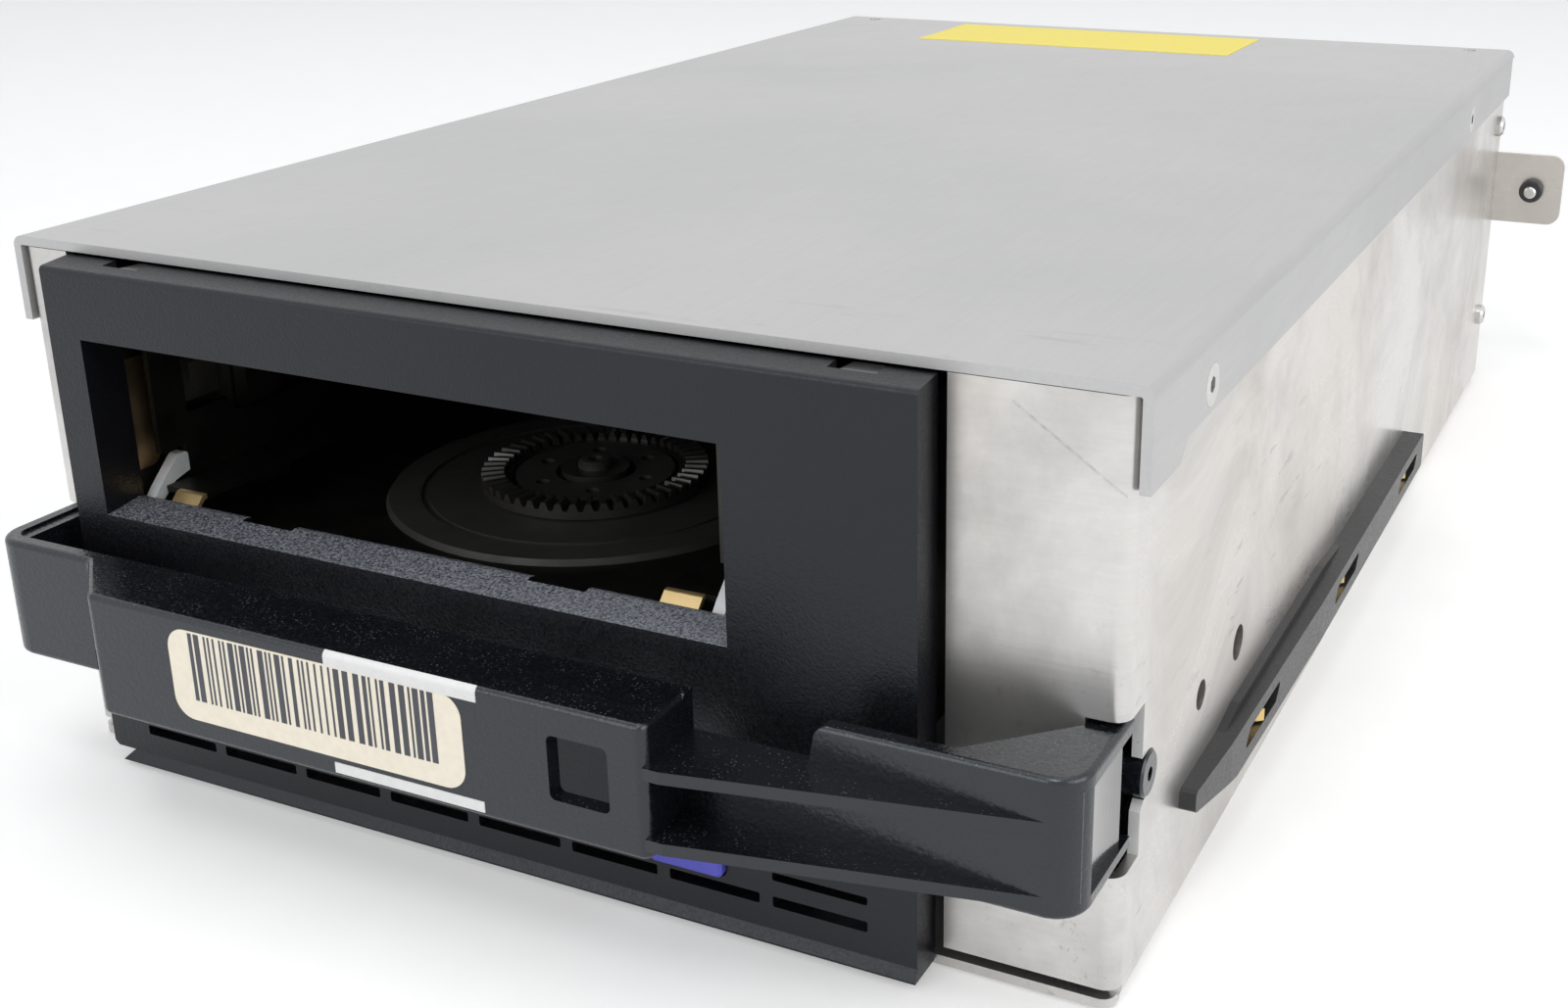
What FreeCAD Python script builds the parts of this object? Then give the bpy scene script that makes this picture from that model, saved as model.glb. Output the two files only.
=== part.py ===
import FreeCAD, Part
import math
import os

# Full-height half-inch data tape drive in its hot-swap sled.
# Millimetres.  +X is to the right seen from the front, +Y to the back, +Z up.
# Everything is drawn with Y = 0 at the front edge of the sled and moved once,
# in save(), so that the origin is the centre of the sled's underside.

V = FreeCAD.Vector
X_AXIS = V(1, 0, 0)
Y_AXIS = V(0, 1, 0)
Z_AXIS = V(0, 0, 1)

# ---------------------------------------------------------------- sled, driving sizes
SLED_W = 189.0            # over the cover's side flanges
SLED_D = 305.0            # front edge to the cover's rear flange
SLED_H = 88.5             # underside to the top of the cover
SHEET = 1.5               # folded aluminium sheet
BEND = 1.0                # inside radius of the tray's folds
LAP = 0.1                 # gap between lapped sheets
COVER_BEND = 0.3          # inside radius of the cover's side folds
COVER_FLANGE = 11.1       # drop of the cover's side flanges
COVER_TAB = 13.9          # deeper drop at the front corners
COVER_TAB_L = 15.0
REAR_BEND = 2.2           # inside radius of the cover's rear fold
REAR_FLANGE = 12.0
CORNER_RELIEF = 2.2       # gap between the cover's side and rear folds

PANEL_R_W = 26.7          # width of the right front panel, over the cover
PANEL_L_W = 11.4
PANEL_R_EDGE = SLED_W / 2 - PANEL_R_W
PANEL_L_EDGE = PANEL_L_W - SLED_W / 2
PANEL_FOOT = 3.0          # gap under the front panels

# ---------------------------------------------------------------- handle and its pivot
PIVOT_Y = 9.5
PIVOT_Z = 31.6
PIN_R = 3.35
PIN_FIT = 0.08            # radial running clearance of the pin in its slot
PIN_PROUD = 0.4           # pin end past the sled wall
PIN_HOLE_R = 1.0
NOTCH_BOTTOM = 20.4
NOTCH_TOP = 43.3
NOTCH_DEPTH = 7.0
NOTCH_W = 5.7             # width of the notch in the front panel
SLOT_LEAD = 1.3           # chamfer at the mouth of the pin slot
HANDLE_WALL = 2.5
HANDLE_BOTTOM = 22.5
HANDLE_TOP = 42.5
HANDLE_REACH = SLED_W / 2 - 2.1   # half width over the lips
ARM_Y = -15.3             # front face of the side arms
BLOCK_Y = -25.0           # front face of the label block
BLOCK_L = -60.6
BLOCK_R = 36.7
BLOCK_STEP = 10.4         # run of the sloping shoulder at the left of the block
HANDLE_EDGE = 0.9         # rounding of the bail's long edges
LIP = 2.2                 # thickness of the top and bottom lips
LIP_BACK = 4.5            # how far back the lips reach
WEB_TOP_R = 12.4          # legs of the corner gussets: right top, right bottom, left
WEB_LOW_R = 10.0
WEB_L = 8.0
ARM_CORNER = 5.0
LOW_ARM_END = 56.4        # the right arm is full height from here on
FIN_T = 1.8
FIN_TOP_Z = 36.4
FIN_LOW_Z = 25.8
FIN_END = HANDLE_REACH - 3.8
TARGET_L = 21.4           # square sighting hole
TARGET_W = 9.5
TARGET_Z = 28.3
TARGET_H = 9.7
LABEL_L = -45.2
LABEL_W = 52.8
LABEL_Z = 25.9
LABEL_H = 12.9
LABEL_T = 0.15
LABEL_CORNER = 3.5

# ---------------------------------------------------------------- side rails
RAIL_FRONT = 26.0
RAIL_BACK = 194.0
RAIL_LOW = 12.8
RAIL_TOP = 20.3
RAIL_CREST = 21.5         # raised stretch of the inner edge
RAIL_OUT = 4.2
RAIL_TIP_OUT = 2.5
RAIL_NOSE = 20.0
RAIL_SLOTS = (60.0, 118.0, 177.0)
RAIL_SLOT_L = 20.5
RAIL_SLOT_H = 2.9
RAIL_SLOT_Z = 16.6
RAIL_SCREWS = (88.0, 148.0)
RAIL_SCREW_R = 1.2
SPRING_T = 0.3

# ---------------------------------------------------------------- ears and captive screws
EAR_OUT = SLED_W / 2 + 15.2
EAR_LOW = 44.2
EAR_TOP = 62.1
EAR_CORNER = 3.2
EAR_SCREW_X = SLED_W / 2 + 7.8
EAR_SCREW_Z = 53.0
EAR_HOLE_R = 2.0
SCREW_SHANK_R = 1.5
SCREW_TIP = 4.4           # shank in front of the ear
THUMB_R = 4.6
THUMB_L = 7.0
RING_R = 2.9
RING_L = 2.4

# ---------------------------------------------------------------- small fasteners
SCREW_R = 1.45
SCREW_HEAD_R = 3.0
SCREW_FIT = 0.05
COVER_SCREW_Z = SLED_H - 7.3
COVER_SCREW_Y = (25.6, 238.0)
SIDE_HOLE_Y = 55.0
SIDE_HOLE_Z = 30.6
SIDE_HOLE_R = 2.85
PILOT_HOLE_Y = 34.8
PILOT_HOLE_Z = 31.2
PILOT_HOLE_R = 2.3

# ---------------------------------------------------------------- drive mechanism
DRIVE_L = -81.0
DRIVE_W = 146.0
DRIVE_Y = 0.3
DRIVE_D = 205.0
COVER_ROOM = 2.9          # air between the drive and the cover
DRIVE_H = SLED_H - 2 * SHEET - COVER_ROOM
DRIVE_Z = SHEET
DECK_Z = 38.7             # top face of the mechanism deck
DECK_T = 3.0
CAST_WALL = 3.0
CAST_FLOOR = 4.0
TOP_SHEET = 1.0

BEZEL_L = -82.5
BEZEL_W = 149.0
BEZEL_LOW = 0.65
BEZEL_TOP = SLED_H - 2.5
BEZEL_FRONT = -6.0
BEZEL_BACK = 0.1
BEZEL_LIP_BACK = -0.2     # the lower lip stops in front of the sled floor
BEZEL_WALL = 2.2
BEZEL_DRAFT = 0.6
BEZEL_LIP_H = 2.1
BEZEL_CHAMFER = 0.8
LIP_TIP = 2.2             # the lower lip starts this far inboard of the left edge
LIP_SLANT = 2.6
WINDOW_L = -75.9
WINDOW_W = 114.2
WINDOW_LOW = 45.7
WINDOW_HEAD = 11.1        # bezel above the window
WINDOW_H = BEZEL_TOP - WINDOW_HEAD - WINDOW_LOW
TUNNEL_BACK = 1.8
TUNNEL_WALL = 1.8
RAMP_RISE = 0.8
RAMP_NOTCH_X = (-53.0, 1.5)
RAMP_NOTCH_W = 10.0
RAMP_NOTCH_D = 2.0
VENT_X = -74.1
VENT_W = 14.8
VENT_PITCH = 16.9
VENT_COUNT = 8
VENT_Z = 6.5
VENT_H = 1.7
TOP_VENT_Z = 10.8         # short slot above the last one
TOP_VENT_H = 1.3
CLIP_X = (-69.0, 55.9)
CLIP_W = 7.0
CLIP_D = 2.8

BUTTON_X = 30.6
BUTTON_W = 12.0
BUTTON_Z = 12.5
BUTTON_H = 6.2
BUTTON_PROUD = 1.2
BUTTON_TRAVEL = 1.0
BUTTON_GAP = 0.3
SWITCH_FACE = -0.5
LIGHT_X = (12.0, 17.0)
LIGHT_R = 1.25

# ---------------------------------------------------------------- reels and tape path
SLOT_X = -22.4            # middle of the cartridge slot, over the reel clutch
REEL_Y = 53.2
CARTRIDGE_W = 105.4
CARTRIDGE_H = 21.5
CARTRIDGE_Z = 46.9
CARTRIDGE_GAP = 0.3
POST_GAP = 0.3             # the carriage slides between four upright posts
POST_T = 3.0
POST_L = 8.0
POST_Y = (28.0, 74.0)
POST_TOP = 64.0
MOTOR_FLANGE_R = 36.2
MOTOR_FLANGE_T = 1.0
MOTOR_CAN_R = 26.0
MOTOR_CAN_H = 16.0
CLUTCH_R = 19.9
CLUTCH_TOOTH_IN = 15.9
CLUTCH_TEETH = 48
CLUTCH_TOOTH_H = 1.3
CLUTCH_TOP = 42.7
SPINDLE_R = 3.0
BEARING_FIT = 0.05
TAKEUP_Y = 152.0
TAKEUP_R = 36.0
TAKEUP_HUB_R = 21.0
TAKEUP_LOW = 47.5
TAPE_W = 13.4
FLANGE_T = 1.6
ROLLER_R = 4.4
ROLLER_FLANGE_R = 5.6
ROLLER_SPOTS = ((-44.0, 111.4), (-56.4, 112.4), (-71.0, 128.0), (-69.0, 146.0))
ROLLER_SHAFT_R = 1.5
HEAD_ROD_R = 1.5
HEAD_ROD_X = -74.5
HEAD_ROD_Y = (111.6, 118.9)
HEAD_HALF = 5.0           # half height of the head carriage

# ---------------------------------------------------------------- loader
CARRIAGE_T = 1.0
CARRIAGE_HEAD = 3.0       # roof of the cage over the cartridge
CARRIAGE_FRONT = 6.0
CARRIAGE_BACK = 104.0
CARRIAGE_LEDGE = 9.0      # width of the floor strips under the cartridge's edges
PRONG_T = 2.0
PRONG_BACK = 11.5         # the side walls are notched back to here for the fingers
PRONG_TOP = 52.0
TAB_BACK = 6.0
SENSOR_Y = 14.0
SENSOR_Z = 58.5
SENSOR_W = 7.5            # square face of the cartridge sensor
SENSOR_T = 3.2
SENSOR_ROOM = 1.3         # window in the cage wall around the sensor

# ---------------------------------------------------------------- sled electronics
FAN = 60.0
FAN_D = 15.0
FAN_X = 42.0
FAN_Z = SLED_H - 44.5
FAN_BORE = 28.5
FAN_TIP = 27.6
FAN_HUB = 13.0
BLADES = 7
BOARD_T = 1.6
BOARD_L = -86.0
BOARD_R = 4.0
BOARD_Y = 214.0
BOARD_BACK = 296.0
BOARD_Z = 9.5
PAD_FOOT = 8.0            # board hole to board edge, sideways
MAIN_BOARD_Z = 11.0
MAIN_BOARD_POSTS = [(x, y) for x in (-70.0, 54.0) for y in (84.0, 188.0)]
BOARD_POSTS = [(x, y) for x in (BOARD_L + PAD_FOOT, BOARD_R - PAD_FOOT) for y in (BOARD_Y + 22,
                                                                                  BOARD_BACK - 12)]
REAR_PLUG_X = -48.0
REAR_PLUG_W = 60.0
REAR_PLUG_Z = 13.0
REAR_PLUG_H = 10.0
CONNECTOR_X = -48.0
CONNECTOR_W = 58.0
CONNECTOR_Z = BOARD_Z + BOARD_T
CONNECTOR_H = 13.0
REAR_SCREW_Z = (20.0, SLED_H - 18.5)
REAR_SCREW_IN = 9.0       # rear panel screws, in front of the sled's back
FAN_SCREW = 25.0
FAN_SCREW_R = 1.9
FAN_PIN_R = 1.5


# ================================================================ helpers
def box(x0, x1, y0, y1, z0, z1):
    return Part.makeBox(x1 - x0, y1 - y0, z1 - z0, V(x0, y0, z0))


def rod(radius, length, start, axis):
    return Part.makeCylinder(radius, length, start, axis)


def tube(outer, inner, length, start, axis):
    return rod(outer, length, start, axis).cut(rod(inner, length, start, axis))


def union(shapes):
    first = shapes[0]
    if len(shapes) == 1:
        return first
    return first.fuse(list(shapes[1:])).removeSplitter()


def outline(corners):
    """Closed wire through (point, radius) corners; a radius rounds its corner with an arc."""
    count = len(corners)
    ends = []
    for i, (point, radius) in enumerate(corners):
        before = (corners[i - 1][0] - point).normalize()
        after = (corners[(i + 1) % count][0] - point).normalize()
        if radius <= 0:
            ends.append((point, None, point))
            continue
        half = before.getAngle(after) / 2
        run = radius / math.tan(half)
        middle = (before + after).normalize()
        centre = point + middle * (radius / math.sin(half))
        ends.append((point + before * run, centre - middle * radius, point + after * run))
    edges = []
    for i, (start, bulge, end) in enumerate(ends):
        if bulge is not None:
            edges.append(Part.Arc(start, bulge, end).toShape())
        following = ends[(i + 1) % count][0]
        if end.distanceToPoint(following) > 1e-6:
            edges.append(Part.makeLine(end, following))
    return Part.Wire(edges)


def prism(corners, sweep):
    return Part.Face(outline(corners)).extrude(sweep)


def plan(points, z0, z1, radius=0.0):
    """Upright prism over XY points given as (x, y) or (x, y, corner radius)."""
    corners = [(V(p[0], p[1], z0), p[2] if len(p) > 2 else radius) for p in points]
    return prism(corners, V(0, 0, z1 - z0))


def side(points, x0, x1, radius=0.0):
    """Prism along X over YZ points given as (y, z) or (y, z, corner radius)."""
    corners = [(V(x0, p[0], p[1]), p[2] if len(p) > 2 else radius) for p in points]
    return prism(corners, V(x1 - x0, 0, 0))


def front(points, y0, y1, radius=0.0):
    """Prism along Y over XZ points given as (x, z) or (x, z, corner radius)."""
    corners = [(V(p[0], y0, p[1]), p[2] if len(p) > 2 else radius) for p in points]
    return prism(corners, V(0, y1 - y0, 0))


def front_rect(x, z, width, height, y0, y1, radius=0.0):
    points = [(x, z), (x + width, z), (x + width, z + height), (x, z + height)]
    return front(points, y0, y1, radius)


def mirrored(shape):
    return shape.mirror(V(0, 0, 0), X_AXIS)


def both_sides(shape):
    return [shape, mirrored(shape)]


def about(shape, centre, axis, angle):
    turned = shape.copy()
    turned.rotate(centre, axis, angle)
    return turned


def save(name, shapes):
    group = shapes if isinstance(shapes, list) else [shapes]
    solids = [s for shape in group for s in shape.Solids]
    result = solids[0] if len(solids) == 1 else Part.makeCompound(solids)
    result.translate(V(0, -SLED_D / 2, 0))
    result.exportStep("parts/%s.step" % name)


# ================================================================ derived places
TRAY_X = SLED_W / 2 - SHEET - LAP
TRAY_TOP = SLED_H - SHEET - LAP
TRAY_D = SLED_D - SHEET - LAP
FOLD = BEND + SHEET
WALL_IN = TRAY_X - SHEET
DRIVE_R = DRIVE_L + DRIVE_W
DRIVE_TOP = DRIVE_Z + DRIVE_H
DECK_LOW = DECK_Z - DECK_T
SLOT_HALF = CARTRIDGE_W / 2 + CARTRIDGE_GAP
CAST_IN_L = DRIVE_L + CAST_WALL
CAST_IN_R = DRIVE_R - CAST_WALL
CARRIAGE_HALF = SLOT_HALF + CARRIAGE_T
CARRIAGE_LOW = CARTRIDGE_Z - CARTRIDGE_GAP - CARRIAGE_T
CARRIAGE_TOP = CARTRIDGE_Z + CARTRIDGE_H + CARRIAGE_HEAD
ROLLER_LOW = TAKEUP_LOW - 1.0
HEAD_Z = TAKEUP_LOW + FLANGE_T + TAPE_W / 2
HEAD_TOP = DRIVE_TOP - 8.1
RAIL_MID_Z = (RAIL_LOW + RAIL_TOP) / 2
FRONT_BOARD_Y = DRIVE_Y + CAST_WALL
REAR_PANEL_Y = TRAY_D - SHEET
REAR_HALF = WALL_IN - LAP
REAR_LOW = SHEET
REAR_TOP = TRAY_TOP - REAR_BEND - 0.2
FAN_FRONT = REAR_PANEL_Y - FAN_D
SLED_SCREW_SPOTS = [(x, y) for x in (DRIVE_L + 12.0, DRIVE_R - 12.0) for y in (40.0, 170.0)]


# ================================================================ fasteners
def countersunk_screw(length):
    """Countersunk screw along +Z, its flat face at Z = 0 and its shank below."""
    depth = SCREW_HEAD_R - SCREW_R
    head = Part.makeCone(SCREW_R, SCREW_HEAD_R, depth, V(0, 0, -depth), Z_AXIS)
    shank = rod(SCREW_R, length - depth, V(0, 0, -length), Z_AXIS)
    drive = plan([(1.2 * math.cos(a), 1.2 * math.sin(a))
                  for a in [math.radians(60 * k) for k in range(6)]], -0.9, 0.1)
    return head.fuse(shank).removeSplitter().cut(drive)


def countersink(depth):
    """Cutter for the seat of a countersunk screw along +Z, mouth at Z = 0."""
    cone_h = SCREW_HEAD_R - SCREW_R
    cone = Part.makeCone(SCREW_R + SCREW_FIT, SCREW_HEAD_R + SCREW_FIT, cone_h,
                         V(0, 0, -cone_h), Z_AXIS)
    hole = rod(SCREW_R + SCREW_FIT, depth + 0.5, V(0, 0, -depth), Z_AXIS)
    return cone.fuse(hole)


def aim(shape, position, direction):
    """Turn a shape built along +Z so that it points along direction, then place it."""
    turned = shape.copy()
    turned.Placement = FreeCAD.Placement(position, FreeCAD.Rotation(Z_AXIS, direction))
    return turned


def pan_screw(head_r, head_h, shank_r, length):
    """Pan-head screw along +Z: head above Z = 0, shank below, hexagon recess."""
    crown = head_h * 0.4
    head = rod(head_r, head_h - crown, V(0, 0, 0), Z_AXIS)
    head = head.fuse(Part.makeCone(head_r, head_r - crown, crown, V(0, 0, head_h - crown), Z_AXIS))
    shank = rod(shank_r, length, V(0, 0, -length), Z_AXIS)
    recess = plan([(head_r * 0.45 * math.cos(a), head_r * 0.45 * math.sin(a))
                   for a in [math.radians(60 * k) for k in range(6)]], head_h * 0.4, head_h + 0.1)
    return head.fuse(shank).removeSplitter().cut(recess)


# ================================================================ sled sheet metal
def tray_channel():
    half = TRAY_X
    points = [(-half, 0, FOLD), (half, 0, FOLD), (half, TRAY_TOP), (half - SHEET, TRAY_TOP),
              (half - SHEET, SHEET, BEND), (-half + SHEET, SHEET, BEND),
              (-half + SHEET, TRAY_TOP), (-half, TRAY_TOP)]
    return front(points, FOLD, TRAY_D)


def tray_corner(inner_edge):
    """Front panel with its fold into the side wall, for the right side."""
    tail = FOLD + 1.0
    points = [(inner_edge, 0), (TRAY_X, 0, FOLD), (TRAY_X, tail), (WALL_IN, tail),
              (WALL_IN, SHEET, BEND), (inner_edge, SHEET)]
    return plan(points, PANEL_FOOT, TRAY_TOP)


def pin_slot():
    """Notch for the handle arm and the open-front slot for its pin, right side."""
    notch = box(TRAY_X - NOTCH_W, TRAY_X + 1, -1, NOTCH_DEPTH, NOTCH_BOTTOM, NOTCH_TOP)
    half = PIN_R + PIN_FIT
    x0 = WALL_IN - 1
    x1 = TRAY_X + 1
    mouth = side([(NOTCH_DEPTH - 1, PIVOT_Z - half - SLOT_LEAD - 1),
                  (NOTCH_DEPTH, PIVOT_Z - half - SLOT_LEAD),
                  (NOTCH_DEPTH + SLOT_LEAD, PIVOT_Z - half), (PIVOT_Y, PIVOT_Z - half),
                  (PIVOT_Y, PIVOT_Z + half), (NOTCH_DEPTH - 1, PIVOT_Z + half)], x0, x1)
    seat = rod(half, x1 - x0, V(x0, PIVOT_Y, PIVOT_Z), X_AXIS)
    return union([notch, mouth, seat])


def chassis_tray():
    lip_half = TRAY_X - 0.6
    lip = plan([(-lip_half, 0, 2.0), (lip_half, 0, 2.0), (lip_half, FOLD + 1), (-lip_half, FOLD + 1)],
               0, SHEET)
    ear_notch = box(WALL_IN - 1, TRAY_X + 1, REAR_PANEL_Y - LAP, TRAY_D + 1, EAR_LOW - LAP, EAR_TOP + LAP)
    tray = tray_channel().cut(both_sides(ear_notch))
    left_panel = mirrored(tray_corner(-PANEL_L_EDGE))
    tray = union([tray, lip, tray_corner(PANEL_R_EDGE), left_panel])
    corner = REAR_BEND + 0.3
    cutters = both_sides(pin_slot())
    cutters.append(side([(TRAY_D - corner, TRAY_TOP), (TRAY_D, TRAY_TOP - corner),
                         (TRAY_D + 1, TRAY_TOP - corner),
                         (TRAY_D + 1, TRAY_TOP + 1), (TRAY_D - corner, TRAY_TOP + 1)], -TRAY_X - 1,
                        TRAY_X + 1))
    holes = [(SIDE_HOLE_Y, SIDE_HOLE_Z, SIDE_HOLE_R), (PILOT_HOLE_Y, PILOT_HOLE_Z, PILOT_HOLE_R)]
    holes += [(y, COVER_SCREW_Z, SCREW_R + SCREW_FIT) for y in COVER_SCREW_Y]
    holes += [(y, RAIL_MID_Z, RAIL_SCREW_R + SCREW_FIT) for y in RAIL_SCREWS]
    holes += [(SLED_D - REAR_SCREW_IN, z, SCREW_R + SCREW_FIT) for z in REAR_SCREW_Z]
    for y, z, radius in holes:
        cutters += both_sides(rod(radius, SHEET + 2, V(WALL_IN - 1, y, z), X_AXIS))
    for x, y in SLED_SCREW_SPOTS:
        cutters.append(aim(countersink(SHEET + 1), V(x, y, 0), V(0, 0, -1)))
    for x, y in BOARD_POSTS:
        cutters.append(rod(SCREW_R + SCREW_FIT, SHEET + 2, V(x, y, -1), Z_AXIS))
    return tray.cut(cutters)


def top_cover():
    half = SLED_W / 2
    inner = half - SHEET
    under = SLED_H - SHEET
    outer_bend = COVER_BEND + SHEET
    straight = SLED_D - REAR_BEND - SHEET - CORNER_RELIEF
    low = SLED_H - COVER_FLANGE
    points = [(-half, low), (-half, SLED_H, outer_bend), (half, SLED_H, outer_bend), (half, low),
              (inner, low), (inner, under, COVER_BEND), (-inner, under, COVER_BEND), (-inner, low)]
    channel = front(points, 0, straight + CORNER_RELIEF)
    ends = box(-half - 1, half + 1, straight, SLED_D, 0, under - COVER_BEND)
    channel = channel.cut(ends)
    rear = side([(straight, SLED_H), (SLED_D, SLED_H, REAR_BEND + SHEET),
                 (SLED_D, SLED_H - REAR_FLANGE), (SLED_D - SHEET, SLED_H - REAR_FLANGE),
                 (SLED_D - SHEET, under, REAR_BEND), (straight, under)],
                -inner + 0.4, inner - 0.4)
    tab_low = SLED_H - COVER_TAB
    tab = side([(0, tab_low), (COVER_TAB_L - (low - tab_low), tab_low), (COVER_TAB_L, low),
                (COVER_TAB_L, low + 2), (0, low + 2)], inner, half)
    cover = union([channel, rear] + both_sides(tab))
    cutters = []
    for y in COVER_SCREW_Y:
        seat = aim(countersink(SHEET + 0.5), V(half, y, COVER_SCREW_Z), X_AXIS)
        cutters += both_sides(seat)
    for x in (-84.0, 84.0):
        cutters.append(rod(1.6, 0.35, V(x, SLED_D - 8.0, SLED_H - 0.3), Z_AXIS))
    return cover.cut(cutters)


def cover_screws():
    screws = []
    for y in COVER_SCREW_Y:
        screws += both_sides(aim(countersunk_screw(5.0), V(SLED_W / 2, y, COVER_SCREW_Z), X_AXIS))
    return screws


# ---------------------------------------------------------------- rear panel


def rear_ear():
    """Ear of the right side: it passes out through a notch in the tray wall."""
    x0 = REAR_HALF - 8.0
    ear = front([(x0, EAR_LOW), (EAR_OUT, EAR_LOW, EAR_CORNER), (EAR_OUT, EAR_TOP, EAR_CORNER),
                 (x0, EAR_TOP)], REAR_PANEL_Y, TRAY_D)
    return ear.cut(rod(EAR_HOLE_R, SHEET + 2, V(EAR_SCREW_X, REAR_PANEL_Y - 1, EAR_SCREW_Z), Y_AXIS))


def rear_panel():
    plate = box(-REAR_HALF, REAR_HALF, REAR_PANEL_Y, TRAY_D, REAR_LOW, REAR_TOP)
    flange = plan([(REAR_HALF, TRAY_D, FOLD), (REAR_HALF, REAR_PANEL_Y - 12),
                   (REAR_HALF - SHEET, REAR_PANEL_Y - 12), (REAR_HALF - SHEET, REAR_PANEL_Y, BEND),
                   (REAR_HALF - 6, REAR_PANEL_Y), (REAR_HALF - 6, TRAY_D)], REAR_LOW + 3, REAR_TOP - 3)
    plate = plate.cut(both_sides(box(REAR_HALF - 4, REAR_HALF + 1, REAR_PANEL_Y - 1, TRAY_D + 1, 0,
                                     SLED_H)))
    flange = flange.cut(box(REAR_HALF - 5, REAR_HALF + 1, REAR_PANEL_Y - 14, TRAY_D + 1, EAR_LOW - 1.5,
                            EAR_TOP + 1.5))
    panel = union([plate] + both_sides(flange) + both_sides(rear_ear()))
    cutters = []
    slat = 3.6
    pitch = 6.0
    reach = FAN_BORE - 1.0
    rows = int(reach / pitch)
    for k in range(-rows, rows + 1):
        x = k * pitch
        half = math.sqrt(reach * reach - x * x)
        cutters.append(front_rect(FAN_X + x - slat / 2, FAN_Z - half, slat, half - 1.5,
                                  REAR_PANEL_Y - 1, TRAY_D + 1))
        cutters.append(front_rect(FAN_X + x - slat / 2, FAN_Z + 1.5, slat, half - 1.5,
                                  REAR_PANEL_Y - 1, TRAY_D + 1))
    for dx in (-FAN_SCREW, FAN_SCREW):
        for dz in (-FAN_SCREW, FAN_SCREW):
            cutters.append(rod(FAN_SCREW_R + SCREW_FIT, SHEET + 2,
                               V(FAN_X + dx, REAR_PANEL_Y - 1, FAN_Z + dz), Y_AXIS))
    cutters.append(front_rect(CONNECTOR_X - CONNECTOR_W / 2 - 0.5, CONNECTOR_Z - 0.5,
                              CONNECTOR_W + 1.0, CONNECTOR_H + 1.0,
                              REAR_PANEL_Y - 1, TRAY_D + 1, 0.8))
    for k in range(8):
        cutters.append(front_rect(-78.0 + 8.6 * k, SLED_H - 42.5, 4.2, 26.0, REAR_PANEL_Y - 1, TRAY_D + 1,
                                  1.5))
    for z in REAR_SCREW_Z:
        cutters += both_sides(rod(SCREW_R + SCREW_FIT, SHEET * 3,
                                  V(REAR_HALF - SHEET * 2, SLED_D - REAR_SCREW_IN, z), X_AXIS))
    return panel.cut(cutters)


def rear_panel_screws():
    screws = []
    for z in REAR_SCREW_Z:
        screw = aim(pan_screw(2.6, 1.6, SCREW_R, 4.5), V(TRAY_X, SLED_D - REAR_SCREW_IN, z), X_AXIS)
        screws += both_sides(screw)
    return screws


# ---------------------------------------------------------------- captive ear screws
def captive_screw():
    """Thumb screw for the right ear: knurled head behind the ear, tip pointing forwards."""
    ear_back = TRAY_D
    start = ear_back - SHEET - SCREW_TIP
    gap = 0.3
    shank = rod(SCREW_SHANK_R, SCREW_TIP + SHEET + gap + 1, V(EAR_SCREW_X, start, EAR_SCREW_Z), Y_AXIS)
    tip_edge = [e for e in shank.Edges if abs(e.BoundBox.YMax - start) < 1e-6]
    shank = shank.makeChamfer(0.4, tip_edge)
    centre = V(EAR_SCREW_X, ear_back + gap, EAR_SCREW_Z)
    head = rod(THUMB_R, THUMB_L, centre, Y_AXIS)
    rims = [e for e in head.Edges if e.BoundBox.YLength < 1e-6]
    head = head.makeChamfer(0.6, rims)
    grooves = []
    for k in range(18):
        groove = rod(0.45, THUMB_L + 2, centre + V(THUMB_R + 0.12, -1, 0), Y_AXIS)
        grooves.append(about(groove, centre, Y_AXIS, 20 * k))
    slot = box(EAR_SCREW_X - THUMB_R, EAR_SCREW_X + THUMB_R, ear_back + gap + THUMB_L - 1.4,
               ear_back + gap + THUMB_L + 1, EAR_SCREW_Z - 0.6, EAR_SCREW_Z + 0.6)
    return shank.fuse(head).removeSplitter().cut(grooves + [slot])


def captive_ring():
    """Nylon retaining ring on the right screw, in front of the ear."""
    start = TRAY_D - SHEET - 0.3 - RING_L
    ring = tube(RING_R, SCREW_SHANK_R, RING_L, V(EAR_SCREW_X, start, EAR_SCREW_Z), Y_AXIS)
    rim = [e for e in ring.Edges if abs(e.BoundBox.YMax - start) < 1e-6
           and e.BoundBox.ZLength > 2 * SCREW_SHANK_R + 0.5]
    return ring.makeChamfer(0.4, rim)


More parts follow.
